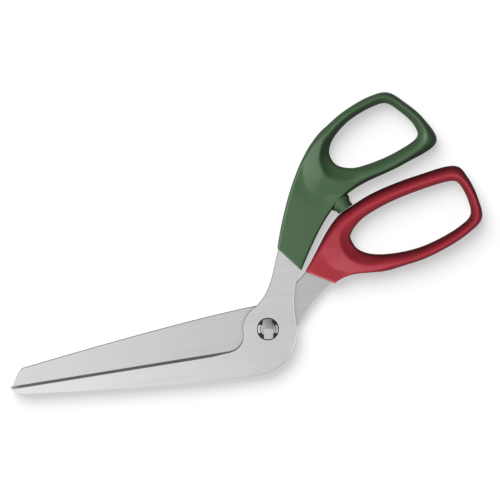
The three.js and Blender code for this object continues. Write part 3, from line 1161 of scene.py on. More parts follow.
    def sections(self) -> dict[str, np.ndarray]:
        """The surface above the middle as one row of points for each station.

        Returns:
            The stations' arrays, and under points the place and height of each point of each row.
        """
        made = self.stations()
        outer, inner = made["outer"], made["inner"]
        count, samples = len(outer), self.samples
        grid = settled_grid(outer, inner, self.grid_rows, self.grid_rounds)
        share = (1 - np.cos(np.linspace(0, math.pi, samples))) / 2
        places = share * self.grid_rows
        path = np.stack([spline(line, places, False) for line in grid])
        flat = path.reshape(-1, 2)
        from_outer = distance_to(flat, outer).reshape(count, samples)
        from_inner = distance_to(flat, inner).reshape(count, samples)
        top = self.top(flat).reshape(count, samples)
        edge, depth = made["edge"][:, None], made["depth"][:, None]
        ridge, bowl = made["ridge"][:, None], made["bowl"][:, None]
        outer_rim = 1 - depth * (1 - quarter_round(from_outer / edge, self.bow_fullness))
        beyond = np.maximum(ridge - from_inner, 0)
        beyond = np.sqrt(beyond**2 + self.crest_soft**2) - self.crest_soft
        fall = np.clip(1 - beyond / (ridge - self.crest_soft * 0.5), 0, 1)
        rim = quarter_round(from_inner / self.bowl_rim)
        dished = (self.bowl_floor + (1 - self.bowl_floor) * fall**self.bowl_curve) * rim
        rounded = quarter_round(from_inner / ridge, self.bow_fullness)
        inner_rim = rounded * (1 - bowl) + dished * bowl
        height = top * outer_rim * inner_rim
        made["points"] = np.concatenate([path, height[:, :, None]], axis=2)
        return made

    def rows_of(self, section: np.ndarray) -> np.ndarray:
        """A section's points redone so that the rows lie closer near its two rims.

        Args:
            section: Dense points from the outer rim to the inner one.

        Returns:
            One point for each row.
        """
        foot = section[0].copy()
        foot[2] = 0
        toe = section[-1].copy()
        toe[2] = 0
        wall = np.linspace(foot, section[0], self.wall_rows)[:-1]
        line = np.vstack([wall, section, toe])
        along = travelled(line)
        left = along[-1] - along
        density = 1 / (self.outer_row + self.outer_growth * along)
        density += 1 / (self.inner_row + self.inner_growth * left)
        between = (density[1:] + density[:-1]) / 2 * np.diff(along)
        weight = np.concatenate([[0.0], np.cumsum(between)])
        weight += np.arange(len(weight)) * 1e-9  # so that no two are alike
        marks = np.linspace(0, weight[-1], self.rows + 1)
        return np.stack([np.interp(marks, weight, line[:, axis]) for axis in range(3)], axis=1)

    def build(self) -> bpy.types.Object:
        """Models the handle as a ring bridged from its outside to its opening, then mirrored.

        Returns:
            The finished piece.
        """
        made = self.sections()
        table = np.stack([self.rows_of(section) for section in made["points"]])
        form = bmesh.new()
        loft(form, [(table[:, row, :2], table[:, row, 2]) for row in range(self.rows + 1)])
        bmesh.ops.mirror(form, geom=whole(form), axis="Z", merge_dist=1e-5)
        bmesh.ops.translate(form, vec=Vector((0, 0, STACK.middle)), verts=form.verts)
        piece = finished(form, self.name, smooth_below=50)
        self.paint_wear_light_and_shade(piece, made)
        dress(piece, self.finish.material())
        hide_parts(self.node)
        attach(piece, self.body)
        LOG.info("%s: %d faces", self.name, len(piece.data.polygons))
        return piece

    def paint_wear_light_and_shade(self, piece: bpy.types.Object, made: dict[str, np.ndarray]) -> None:
        """Stores where the plastic is worn paler along its rims near the mouth, partly as a painted
        highlight, and the painted shade on its steep sides.
        """
        places = places_of(piece)
        outside = distance_to(places[:, :2], made["outer"])
        mouth = np.array([self.mouth_left, self.mouth_right])
        middle = mouth.mean(axis=0)
        away = np.linalg.norm(places[:, :2] - middle, axis=1) / self.worn_highlight_reach
        near = 1 - ease_in_out(away - self.worn_highlight_hold)
        upright = steepness(piece)
        # worn paler near the mouth, which also paints the highlight along the mouth's rounded edge
        edge = (1 - ease_in_out(outside / self.worn_highlight_width)) * near * (1 - upright**4)
        paint(piece, "edge", edge * self.worn_highlight_level)
        # painted shade on the steep sides, away from the mouth
        paint(piece, "shade", STEEP_SHADE * upright * (1 - near))


def thumb_handle() -> Handle:
    """The green handle, on the front blade."""
    knots = (
        Knot(-1, -0.121, 6.9, 1.0),
        Knot(-0.944, -0.576, 8.6, 1.0),
        Knot(-0.671, -0.901, 7.8, 0.85),
        Knot(-0.338, -1, 6.2, 0.0, 1.49),
        Knot(0.442, -0.95, 5.6, 0.0, 1.36),
        Knot(0.991, -0.667, 5.8, 0.0, 1.87),
        Knot(1, -0.226, 3.7, 0.0, 1.1),
        Knot(0.815, 0.457, 3.2, 0.0, 0.97),
        Knot(0.592, 0.937, 3.3, 0.0, 1.04),
        Knot(0.285, 1, 3.0, 0.0, 1.01),
        Knot(-0.321, 0.819, 2.9, 0.0, 1.02),
        Knot(-0.719, 0.486, 3.4, 0.2, 1.25),
        Knot(-0.911, 0.196, 5.0, 0.85),
    )
    return Handle(
        name="thumb_moulding", node="thumb_handle", body="front_half",
        finish=GREEN_PLASTIC, slot="green_plastic",
        mouth_left=(11.5, 40.7), mouth_right=(22, 27.3), loop_near=(45.8, 86.1),
        loop_length=46.4, loop_width=26.9, usual_wall=5.6, knots=knots,
        right_side=Side(58.2, 29.5, 20.6), left_side=Side(72.5, 19, 19.5),
        slope=Slope((42, 75), 11.4, -5, 80),
    )


def finger_handle() -> Handle:
    """The red handle, on the rear blade."""
    knots = (
        Knot(-1, 0.102, 6.6, 1.0),
        Knot(-0.962, -0.206, 7.4, 1.0),
        Knot(-0.802, -0.542, 7.2, 0.6),
        Knot(-0.45, -0.845, 5.5, 0.0, 1.35),
        Knot(0.073, -1, 4.4, 0.0, 1.08),
        Knot(0.726, -0.798, 3.8, 0.0, 0.97),
        Knot(0.95, -0.546, 3.8, 0.0, 1.05),
        Knot(1, -0.033, 3.4, 0.0, 0.88),
        Knot(0.964, 0.661, 2.9, 0.0, 0.95),
        Knot(0.908, 0.846, 3.4, 0.0, 1.31),
        Knot(0.347, 1, 3.2, 0.0, 1.29),
        Knot(-0.382, 0.939, 3.4, 0.0, 1.4),
        Knot(-0.789, 0.705, 4.6, 0.1, 1.58),
        Knot(-0.997, 0.33, 6.0, 0.85),
    )
    return Handle(
        name="finger_moulding", node="finger_handle", body="rear_half",
        finish=RED_PLASTIC, slot="red_plastic",
        mouth_left=(23.9, 26.3), mouth_right=(38.2, 17.9), loop_near=(50.9, 36.3),
        loop_length=64, loop_width=27.7, usual_wall=6, knots=knots,
        right_side=Side(30.3, 12.4, 12.3), left_side=Side(50.5, 16, 10.2),
        slope=Slope((45.5, 33.7), 10.3, -20, 100), left_run=42.0, right_run=16.0,
    )


@dataclass
class StopPeg:
    """The round peg moulded on the thumb handle that meets the finger handle's side."""

    foot: tuple[float, float] = (47.9, 58.4)
    turn: float = -59.0
    radius: float = 4.4
    flare: float = 1.3
    flare_run: float = 2.6
    root: float = 4.0
    reach: float = 9.0
    gap: float = 0.12
    end_round: float = 0.25
    turns: int = 64

    def build(self, stopped_by: Handle) -> bpy.types.Object:
        """Spins the peg about its axis and cuts its end to the other handle's side.

        Args:
            stopped_by: The handle that the peg meets.

        Returns:
            The finished piece.
        """
        run = np.linspace(-self.root, self.flare_run, 16)
        spread = np.clip(1 - run / self.flare_run, 0, 1) ** 2
        profile = [(-self.root, 0.0)]
        profile += [(float(x), self.radius + self.flare * float(f)) for x, f in zip(run, spread)]
        profile += [(self.reach, self.radius), (self.reach, 0.0)]
        form = bmesh.new()
        spun(form, [(x, y, 0) for x, y in profile], (1, 0, 0), self.turns)
        for corner in form.verts:
            radius = math.hypot(corner.co.y, corner.co.z)
            if radius > self.radius:
                corner.co.z *= self.radius / radius
        turned = Matrix.Rotation(math.radians(self.turn), 3, "Z")
        bmesh.ops.rotate(form, verts=form.verts, cent=(0, 0, 0), matrix=turned)
        bmesh.ops.translate(form, verts=form.verts, vec=Vector((*self.foot, STACK.middle)))
        self.cut(form, stopped_by)
        piece = finished(form, "stop_peg", smooth_below=40)
        paint(piece, "edge", np.zeros(len(piece.data.vertices)))
        # painted shade on the peg's steep sides
        paint(piece, "shade", STEEP_SHADE * steepness(piece))
        dress(piece, GREEN_PLASTIC.material())
        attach(piece, "front_half")
        LOG.info("stop_peg: %d faces", len(piece.data.polygons))
        return piece

    def cut(self, form: bmesh.types.BMesh, stopped_by: Handle) -> None:
        """Cuts the peg off square to the side that it meets, and eases the new edge.

        Args:
            form: The mesh of the peg, in place.
            stopped_by: The handle that the peg meets.
        """
        side = stopped_by.stations()["outer"]
        way = heading(self.turn)
        offset = side - point(*self.foot)
        across = np.abs(offset @ heading(self.turn + 90))
        ahead = offset @ way
        facing = np.where((across < self.radius) & (ahead > 0) & (ahead < 3 * self.reach))[0]
        along = side[facing[-1]] - side[facing[0]]
        inwards = point(-along[1], along[0]) / np.linalg.norm(along)
        met = side[facing] @ inwards
        co = side[facing[int(np.argmin(met))]] - inwards * self.gap
        rim = sliced(form, (*co, 0), (*inwards, 0))
        rounded_off(form, rim, self.end_round)


# Blades


@dataclass
class Rim:
    """How the rim of a blank is eased, one number for each point of its outline."""

    inset: np.ndarray
    drop: np.ndarray
    flatness: np.ndarray

    def rings(
        self, outline: np.ndarray, face: float, up: float, steps: int
    ) -> list[tuple[np.ndarray, np.ndarray]]:
        """Rings from the blank's side wall to its face.

        Args:
            outline: The blank's outline.
            face: Height of the face.
            up: 1 for the upper face, -1 for the lower one.
            steps: Number of steps in the rounding.

        Returns:
            The plan and heights of each ring, the last one just inside the face.
        """
        normal = inward(outline)
        rings = []
        for step in range(steps + 1):
            share = step / steps
            angle = share * math.pi / 2
            plan = self.flatness * share + (1 - self.flatness) * (1 - math.cos(angle))
            fall = self.flatness * (1 - share) + (1 - self.flatness) * (1 - math.sin(angle))
            places = outline + normal * (self.inset * plan)[:, None]
            rings.append((places, face - up * self.drop * fall))
        support = outline + normal * (self.inset + SUPPORT)[:, None]
        rings.append((support, np.full(len(outline), face)))
        return rings


def circle(centre: Sequence[float], radius: float, steps: int = 72) -> np.ndarray:
    """A clockwise circle, so that its inward normal points away from the hole."""
    return arc(point(*centre), radius, 360, 0, steps)[:-1]


def level(places: np.ndarray, height: float) -> tuple[np.ndarray, np.ndarray]:
    """A ring that lies flat at one height."""
    return places, np.full(len(places), height)


@dataclass
class Blade:
    """A flat blade blank with its tang, its pivot hole and its ground cutting edge.

    The stripe is the wide soft edge and the line the narrow eased one, darkened by painted shade;
    each function gives its share at points of the outline. Away from the ground edge the rim is
    round, least_flat of it straight.
    """

    name: str
    node: str
    body: str
    outline: np.ndarray
    bottom: float
    edge_y: float
    edge_end: float
    bevel_up: bool
    stripe: Callable[[np.ndarray], np.ndarray]
    line: Callable[[np.ndarray], np.ndarray]
    tang_hole: np.ndarray
    finish: SteelFinish
    pivot: list[tuple[np.ndarray, np.ndarray]] = field(default_factory=list)
    bevel_width: float = 1.5
    land: float = 0.25
    run_out: float = 11.0
    heel_share: float = 0.0
    eased: float = 0.14
    line_width: float = 0.42
    line_shade: float = 0.5
    stripe_width: float = 1.15
    stripe_drop: float = 0.42
    flat_gain: float = 3.0
    least_flat: float = 0.15
    hole_ease: float = 0.08
    recess_shade: float = 0.93
    recess_reach: float = 5.9
    recess_below: float = 0.3

    def rim(self, ground: np.ndarray, stripe: np.ndarray, line: np.ndarray) -> Rim:
        """A rim eased all round, and cut wider where it is ground, striped or lined.

        Args:
            ground: Share of the cutting bevel at each point of the outline.
            stripe: Share of the wide soft edge.
            line: Share of the narrow edge that painted shade darkens.

        Returns:
            The rim.
        """
        eased = self.eased + (self.line_width - self.eased) * line
        depth = STACK.stock - self.land
        inset = eased + (self.bevel_width - eased) * ground + (self.stripe_width - eased) * stripe
        drop = eased + (depth - eased) * ground + (self.stripe_drop - eased) * stripe
        return Rim(inset, drop, np.clip(ground * self.flat_gain, self.least_flat, 1))

    def rims(self) -> tuple[Rim, Rim]:
        """The rims of the upper and the lower face.

        Returns:
            The upper rim, then the lower.
        """
        x, y = self.outline.T
        on_edge = (np.abs(y - self.edge_y) < 0.02) & (x < self.edge_end + 0.01)
        run_out = ease_in_out((x - self.edge_end + self.run_out) / self.run_out)
        ground = np.where(on_edge, 1 - (1 - self.heel_share) * run_out, 0)
        none = np.zeros(len(x))
        stripe, line = self.stripe(self.outline) * (1 - ground), self.line(self.outline)
        if self.bevel_up:
            return self.rim(ground, stripe, line), self.rim(none, none, none)
        return self.rim(none, stripe, line), self.rim(ground, none, none)

    def build(self) -> bpy.types.Object:
        """Lofts the blank from face to face and fills both faces round its holes.

        Returns:
            The finished piece.
        """
        top = self.bottom + STACK.stock
        upper, lower = self.rims()
        form = bmesh.new()
        below = lower.rings(self.outline, self.bottom, -1, 4)[::-1]
        above = upper.rings(self.outline, top, 1, 6)
        low_rim, high_rim = loft(form, below + above)
        low_hole, high_hole = loft(form, self.pivot)
        heights = (self.bottom, self.bottom + self.hole_ease, top - self.hole_ease, top)
        low_plug, high_plug = loft(form, [level(self.tang_hole, height) for height in heights])
        cap(form, (low_rim, low_hole, low_plug), -1)
        cap(form, (high_rim, high_hole, high_plug), 1)
        piece = finished(form, self.name)
        self.mark(piece)
        dress(piece, self.finish.material())
        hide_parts(self.node)
        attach(piece, self.body)
        LOG.info("%s: %d faces", self.name, len(piece.data.polygons))
        return piece

    def mark(self, piece: bpy.types.Object) -> None:
        """Stores where the steel is freshly ground, and where painted shade darkens it.

        The painted shade lies as a dark line along parts of the rim and on the floor of the recess
        round the bolt.
        """
        middles, facing = faces_of(piece)
        x, y, z = middles.T
        tilt = facing if self.bevel_up else -facing
        near = (np.abs(y - self.edge_y) < self.bevel_width) & (x < self.edge_end)
        paint_faces(piece, "ground", near & (tilt > SIDEWAYS) & (tilt < FLAT))
        # painted shade: a dark line along parts of the rim
        line = self.line(self.outline)[nearest(middles[:, :2], self.outline)]
        inside = distance_to(middles[:, :2], self.outline)
        on_rim = inside < self.line_width * np.maximum(line, 1)
        on_rim &= (facing > SIDEWAYS) & (facing < DEAD_FLAT)
        # painted shade on the floor and wall of the recess round the bolt, where shade falls
        low = (z < STACK.front_top - self.recess_below) & self.bevel_up
        in_recess = (np.hypot(x, y) < self.recess_reach) & low
        shade = np.maximum(self.line_shade * line * on_rim, self.recess_shade * in_recess)
        paint_faces(piece, "shade", shade)


@dataclass(frozen=True)
class Tang:
    """The end of a blade inside its handle, measured from the middle of the handle's mouth.

    The lips are the plastic beside the neck at the left and the right corner of the mouth.
    """

    turn: float
    length: float
    width: float
    lips: tuple[float, float]


@dataclass(frozen=True)
class Curve:
    """How one side of a neck runs: its directions at both ends and how far it holds each."""

    start_way: float
    start_pull: float
    end_way: float
    end_pull: float

    def between(self, start: np.ndarray, end: np.ndarray, steps: int) -> np.ndarray:
        """The side's points from one place to another."""
        return easing(
            start, heading(self.start_way), self.start_pull,
            end, heading(self.end_way), self.end_pull, steps,
        )


@dataclass
class BladePair:
    """The sizes of the two blades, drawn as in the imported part.

    The pulls of a tip, a spine or a belly place the middle point of its curve.
    """

    reach: float = 136.995
    edge_drop: float = 8.3
    edge_overlap: float = 1.6
    boss: float = 13.3
    front_heel_depth: float = 14.799
    front_heel_radius: float = 23.099
    front_neck_back: float = 15.1
    front_neck_right: Curve = Curve(90, 14, 50, 9)
    front_neck_left: Curve = Curve(246, 13, 215, 12)
    front_shoulder: float = 110.0
    front_belly_pull: float = 36.0
    front_tip_depth: float = 5.4
    front_tip_run: float = 10.0
    front_tip_blunt: float = 0.7
    front_tip_pull: tuple[float, float] = (1.4, 0.7)
    front_tang: Tang = Tang(61, 34, 10, (0, 0.45))
    rear_tip_depth: float = 10.5
    rear_tip_run: float = 9.1
    rear_tip_slant: tuple[float, float] = (0.4, 0.6)
    rear_spine_pull: tuple[float, float] = (-42.5, -1.6)
    rear_neck_right: Curve = Curve(55, 18, 30, 14)
    rear_neck_left: Curve = Curve(219, 14, 190, 10)
    rear_shoulder: float = 100.0
    rear_boss_ends: tuple[float, float] = (-125, -35)
    rear_heel_reach: float = 25.0
    rear_tang: Tang = Tang(20, 15, 7, (0.8, 0.8))
    seat: float = 1.2
    bore: float = 3.1
    bore_ease: float = 0.1
    recess: float = 5.75
    recess_ease: float = 0.25
    recess_foot: float = 0.3
    key_width: float = 4.8
    hole: float = 2.1
    step: float = 1.2

    def neck(self, handle: Handle, tang: Tang) -> np.ndarray:
        """The end of a blade's neck, with the tang that runs into the handle.

        Args:
            handle: The handle moulded round the tang.
            tang: The tang.

        Returns:
            Points from the right corner of the neck round the tang to the left corner.
        """
        left, right = point(*handle.mouth_left), point(*handle.mouth_right)
        along = (left - right) / np.linalg.norm(left - right)
        into = point(along[1], -along[0])
        base = (left + right) / 2
        way = heading(tang.turn)
        side = heading(tang.turn + 90)
        corner_left = left - along * tang.lips[0] + into * self.seat
        corner_right = right + along * tang.lips[1] + into * self.seat
        half = tang.width / 2
        tip = base + way * (tang.length - half)
        starts = []
        for sign in (-1, 1):
            start = base + side * sign * half
            depth = (corner_left - start) @ into / (way @ into)
            starts.append(start + way * depth)
        end = arc(tip, half, tang.turn - 90, tang.turn + 90, 16)
        return np.vstack([corner_right, starts[0], end, starts[1], corner_left])

    def front_outline(self, handle: Handle) -> np.ndarray:
        """The front blade's outline, counter-clockwise from the tip."""
        edge = -self.edge_drop
        heel = -(self.boss + self.edge_drop)
        back = edge - self.front_heel_depth
        corner = point(self.front_neck_back - self.front_heel_radius, back + self.front_heel_radius)
        neck = self.neck(handle, self.front_tang)
        neck_foot = point(self.front_neck_back, corner[1])
        shoulder = self.boss * heading(self.front_shoulder)
        tip = point(-self.reach, edge)
        blunt = point(-self.reach, edge - self.front_tip_blunt)
        half_blunt = point(-self.reach, edge - self.front_tip_blunt / 2)
        pull_x, pull_y = self.front_tip_pull
        pull = point(-self.reach + pull_x, edge - self.front_tip_depth + pull_y)
        low_tip = point(-self.reach + self.front_tip_run, edge - self.front_tip_depth)
        belly = [low_tip, point(corner[0] - self.front_belly_pull, back), point(corner[0], back)]
        runs = [
            spaced(bezier([tip, half_blunt, blunt], 2), 0.3),
            bezier([blunt, pull, low_tip], 14),
            spaced(bezier(belly, 120), self.step),
            arc(corner, self.front_heel_radius, -90, 0, 36),
            self.front_neck_right.between(neck_foot, neck[0], 34),
            neck,
            self.front_neck_left.between(neck[-1], shoulder, 40),
            arc(point(0, 0), self.boss, self.front_shoulder, 180, 26),
            arc(point(heel, 0), self.edge_drop, 0, -90, 22),
            spaced(np.array([point(heel, edge), tip]), self.step),
        ]
        return joined(runs)

    def rear_outline(self, handle: Handle) -> np.ndarray:
        """The rear blade's outline, counter-clockwise from the tip."""
        edge = -self.edge_drop - self.edge_overlap
        spine = edge + self.rear_tip_depth
        neck = self.neck(handle, self.rear_tang)
        low, start = (self.boss * heading(turn) for turn in self.rear_boss_ends)
        high = self.boss * heading(self.rear_shoulder)
        tip = point(-self.reach, edge)
        slant_x, slant_y = self.rear_tip_slant
        slant = point(
            -self.reach + self.rear_tip_run * slant_x, edge + self.rear_tip_depth * slant_y
        )
        spine_start = point(-self.reach + self.rear_tip_run, spine)
        pull_x, pull_y = self.rear_spine_pull
        heel = point(-self.rear_heel_reach, edge)
        runs = [
            spaced(np.array([tip, heel]), self.step),
            bezier([heel, point(-self.boss, edge), low], 20),
            arc(point(0, 0), self.boss, *self.rear_boss_ends, 36),
            self.rear_neck_right.between(start, neck[0], 44),
            neck,
            self.rear_neck_left.between(neck[-1], high, 30),
            spaced(bezier([high, point(pull_x, high[1] + pull_y), spine_start], 140), self.step),
            bezier([spine_start, point(-self.reach + self.rear_tip_run * 2 / 3, spine), slant], 14),
            spaced(np.array([slant, tip]), 0.8),
        ]
        return joined(runs)

    def plug(self, handle: Handle, tang: Tang) -> np.ndarray:
        """The hole in a tang that the moulding fills."""
        base = (point(*handle.mouth_left) + point(*handle.mouth_right)) / 2
        return circle(base + heading(tang.turn) * tang.length / 2, self.hole, 32)

    def front(self, handle: Handle) -> Blade:
        """The front blade, whose pivot hole has the round recess for the bolt's head."""
        bottom, top = STACK.front_bottom, STACK.front_top
        ease = self.recess_ease
        inside = circle((0, 0), self.bore)
        wide = circle((0, 0), self.recess)
        pivot = [
            level(circle((0, 0), self.bore + self.bore_ease), bottom),
            level(inside, bottom + self.bore_ease),
            level(inside, STACK.recess_floor),
            level(wide * ((self.recess - self.recess_foot) / self.recess), STACK.recess_floor),
            level(wide, STACK.recess_floor + self.recess_foot),
            level(wide, top - ease),
            level(wide * (1 + ease * 0.35 / self.recess), top - ease * 0.3),
            level(wide * (1 + ease / self.recess), top),
            level(wide * (1 + (ease + SUPPORT) / self.recess), top),
        ]

        def stripe(places: np.ndarray) -> np.ndarray:
            """The eased back of the neck and of the heel, running out at both ends."""
            x, y = places.T
            back = ease_in_out((x + 45) / 50) * (y < 24) * (x > -60) * (y < 1.3 * x + 9)
            taper = 1 - ease_in_out((y - 12) / 14)
            return back * taper * np.where(y > -9, 1.0, 1 - 0.45 * ease_in_out((-9 - y) / 12))

        def line(places: np.ndarray) -> np.ndarray:
            """The painted shade line, on the left side of the neck and, wider in its corner, the
            hollow heel.
            """
            x, y = places.T
            corner = 1 + 0.6 * (1 - ease_in_out((y + self.edge_drop) / 7))
            return np.where(y > 0, x < y / 2, corner * ((y > -8.29) & (x < -12)))

        return Blade(
            name="front_blade_ground", node="front_blade", body="front_half",
            outline=self.front_outline(handle), bottom=bottom, finish=BLADE_STEEL,
            edge_y=-self.edge_drop, edge_end=-(self.boss + self.edge_drop), bevel_up=True,
            stripe=stripe, line=line, heel_share=0.5, pivot=pivot,
            tang_hole=self.plug(handle, self.front_tang),
        )

    def rear(self, handle: Handle) -> Blade:
        """The rear blade, whose pivot hole has flats that hold the bolt."""
        bottom, top = STACK.rear_bottom, STACK.rear_top
        round_hole = circle((0, 0), self.bore)
        keyed = round_hole.copy()
        keyed[:, 0] = np.clip(keyed[:, 0], -self.key_width / 2, self.key_width / 2)
        heights = (bottom, bottom + self.bore_ease, top - self.bore_ease, top)
        pivot = [level(keyed, height) for height in heights]

        def stripe(places: np.ndarray) -> np.ndarray:
            """The eased right side of the neck."""
            x, y = places.T
            return 0.6 * ease_in_out((x - 10) / 6) * (y < x)

        def line(places: np.ndarray) -> np.ndarray:
            """The painted shade line, on the spine short of the slanted tip and on the left side of
            the neck.
            """
            x, y = places.T
            return ((y > -9.5) & (x < 1.41 * y) & (x > 6 - self.reach)).astype(float)

        edge_y = -self.edge_drop - self.edge_overlap
        return Blade(
            name="rear_blade_ground", node="rear_blade", body="rear_half",
            outline=self.rear_outline(handle), bottom=bottom, finish=REAR_STEEL,
            edge_y=edge_y, edge_end=-self.rear_heel_reach, bevel_up=False,
            stripe=stripe, line=line, pivot=pivot,
            tang_hole=self.plug(handle, self.rear_tang),
        )


# Pivot


@dataclass
class Pivot:
    """The bolt with its cross bar, and the spring washer whose petals show beside it."""

    turn: float = -9.2
    half: float = 5.45
    bar_width: float = 4.8
    twist: float = 0.35
    rise: float = 0.7
    fall: float = 0.2
    bar_ease: float = 0.14
    bar_sharp: float = 18.0
    hub: float = 3.8
    hub_height: float = 0.55
    hub_top_shade: float = 0.4
    hub_side_shade: float = 0.75
    core_ease: float = 0.15
    shank: float = 3.0
    key: float = 2.3
    thread_end: float = 0.8
    bore: float = 3.1
    petal_span: float = 52.0
    petal_gap: float = 1.5
    petal_corner: float = 0.25
    petal_root: float = 4.0
    petal_shoulder: float = 4.15
    petal_shade: float = 0.85
    petal_bend: float = 3.7
    petal_curve: float = 1.2
    petal_fall: float = 0.27
    petal_thickness: float = 0.33
    petal_top_ease: float = 0.07
    petal_low_ease: float = 0.05
    washer_gap: float = 0.05
    turns: int = 72

    def core(self, form: bmesh.types.BMesh) -> None:
        """Spins the bolt's thread end, key, shank and hub, and flattens the key's two sides."""
        ease = self.core_ease
        low, high = STACK.hub_bottom, STACK.hub_bottom + self.hub_height
        flat_step = 0.01  # height over which the flats run out into the round shank
        profile = [
            (0.0, self.thread_end),
            (self.key - ease, self.thread_end),
            (self.key, self.thread_end + ease),
            (self.key, STACK.rear_bottom),
            (self.shank, STACK.rear_bottom),
            (self.shank, STACK.rear_top),
            (self.shank, STACK.rear_top + flat_step),
            (self.shank, low),
            (self.hub, low),
            (self.hub, high - ease),
            (self.hub - ease * 0.3, high - ease * 0.3),
            (self.hub - ease, high),
            (0.0, high),
        ]
        spun(form, [(x, 0, z) for x, z in profile], (0, 0, 1), self.turns)
        for corner in form.verts:
            if corner.co.z < STACK.rear_top + flat_step / 2:
                corner.co.x = min(max(corner.co.x, -self.key), self.key)

    def bar(self) -> bmesh.types.BMesh:
        """Extrudes the plan of the two wings and cuts them to a ridge over the hub.

        Returns:
            The mesh of the bar, turned as in the picture.
        """
        wide, half = self.bar_width / 2, self.half
        near, far = self.twist - wide, self.twist + wide
        start, end = (-math.degrees(math.acos(x / half)) for x in (near, far))
        wing = np.vstack([arc(point(0, 0), half, start, end, 10), [[far, 0], [-near, 0]]])
        form = bmesh.new()
        ridge = STACK.front_top + self.rise
        floor = STACK.hub_bottom
        face = form.faces.new([form.verts.new((x, y, floor)) for x, y in np.vstack([wing, -wing])])
        raised = bmesh.ops.extrude_face_region(form, geom=[face])["geom"]
        lifted = [item for item in raised if isinstance(item, bmesh.types.BMVert)]
        bmesh.ops.translate(form, verts=lifted, vec=Vector((0, 0, ridge - floor)))
        for side in (-1, 1):
            sliced(form, (0, 0, ridge), (0, side * self.fall, 1))
        bmesh.ops.recalc_face_normals(form, faces=form.faces)
        limit = math.radians(self.bar_sharp)
        sharp = [edge for edge in form.edges if edge.calc_face_angle(0) > limit]
        rounded_off(form, sharp, self.bar_ease)
        bmesh.ops.rotate(form, verts=form.verts, cent=(0, 0, 0), matrix=self.turned())
        return form

    def turned(self) -> Matrix:
        """The turn that sets the bar upright in the picture."""
        return Matrix.Rotation(math.radians(self.turn), 3, "Z")

    def bolt(self) -> bpy.types.Object:
        """Joins the bar to the core.

        Returns:
            The finished piece.
        """
        form = self.bar()
        self.core(form)
        piece = finished(form, "pivot_bolt_turned", smooth_below=25)
        middles, facing = faces_of(piece)
        # painted shade on the hub's side and on its top under the bar
        wall = (np.hypot(middles[:, 0], middles[:, 1]) > self.hub - 0.2) & (facing < 0.3)
        low = middles[:, 2] < STACK.hub_bottom + self.hub_height + 0.01
        shade = np.where(wall, self.hub_side_shade, self.hub_top_shade * (facing > FLAT))
        paint_faces(piece, "shade", low * shade)
        return self.dressed(piece, "pivot_bolt", PIVOT_STEEL)

    def washer(self) -> bpy.types.Object:
        """Lofts the washer's section from its bore out to the petals and back.

        Returns:
            The finished piece.
        """
        angles: list[float] = []
        reach: list[float] = []
        for petal in range(4):
            start = self.turn + petal * 90 - self.petal_span / 2
            spread = np.linspace(0, self.petal_span, 9)
            angles += list(start + spread)
            corner = self.half - self.petal_corner
            reach += [corner, *[self.half] * 7, corner]
            between = np.linspace(self.petal_span + self.petal_gap, 90 - self.petal_gap, 6)
            angles += list(start + between)
            reach += [self.petal_root] * 6
        way = np.stack([np.cos(np.radians(angles)), np.sin(np.radians(angles))], axis=1)
        outer = np.array(reach)
        top = STACK.hub_bottom - self.washer_gap

        def ring(share: float, drop: float, inset: float = 0.0) -> tuple[np.ndarray, np.ndarray]:
            """A ring between the bore and the rim, at a depth below the upper face."""
            radius = self.bore + (outer - inset - self.bore) * share
            bent = np.clip((radius - self.petal_bend) / (self.half - self.petal_bend), 0, 1)
            return way * radius[:, None], top - self.petal_fall * bent**self.petal_curve - drop

        thick, high, low = self.petal_thickness, self.petal_top_ease, self.petal_low_ease
        shares = (0, 0.3, 0.44, 0.6, 0.75, 0.88, 1)
        rings = [ring(share, 0.0, high) for share in shares]
        rings += [ring(1, high), ring(1, thick - low)]
        rings += [ring(share, thick, low) for share in shares[::-1]]
        rings.append(ring(0, 0.0, high))
        form = bmesh.new()
        loft(form, rings)
        piece = finished(form, "spring_washer_petals", smooth_below=35)
        middles, _ = faces_of(piece)
        # painted shade in the ring between the hub and the petals
        inner = np.hypot(middles[:, 0], middles[:, 1]) < self.petal_shoulder
        paint_faces(piece, "shade", self.petal_shade * inner)
        return self.dressed(piece, "spring_washer", WASHER_STEEL)

    def dressed(
        self, piece: bpy.types.Object, node: str, finish: SteelFinish
    ) -> bpy.types.Object:
        """Gives a pivot piece its finish and its place in the assembly.

        Args:
            piece: The finished mesh.
            node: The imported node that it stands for.
            finish: Its finish.

        Returns:
            The same piece.
        """
        dress(piece, finish.material())
        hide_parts(node)
        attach(piece, "rear_half")
        LOG.info("%s: %d faces", piece.name, len(piece.data.polygons))
        return piece


# Studio


@dataclass(frozen=True)
class Lamp:
    """A square softbox that lights only some of the pieces.

    Its place is given from the point that it aims at, in millimetres: degrees from the picture's
    right, degrees above the floor, and metres.
    """

    name: str
    azimuth: float
    elevation: float
    distance: float
    size: float
    power: float
    aim: tuple[float, float]


GREEN_LAMP = Lamp("green_lamp", 172, 52, 0.9, 0.35, 8.0, (68, 75))
RED_LAMP = Lamp("red_lamp", 252, 55, 0.9, 0.35, 7.9, (75, 45))
TIP_LAMP = Lamp("tip_lamp", 180, 75, 0.47, 0.35, 0.19, (-137, -9))
RIM_LAMP = Lamp("rim_lamp", -10, 50, 0.6, 0.35, 0.56, (15, 5))


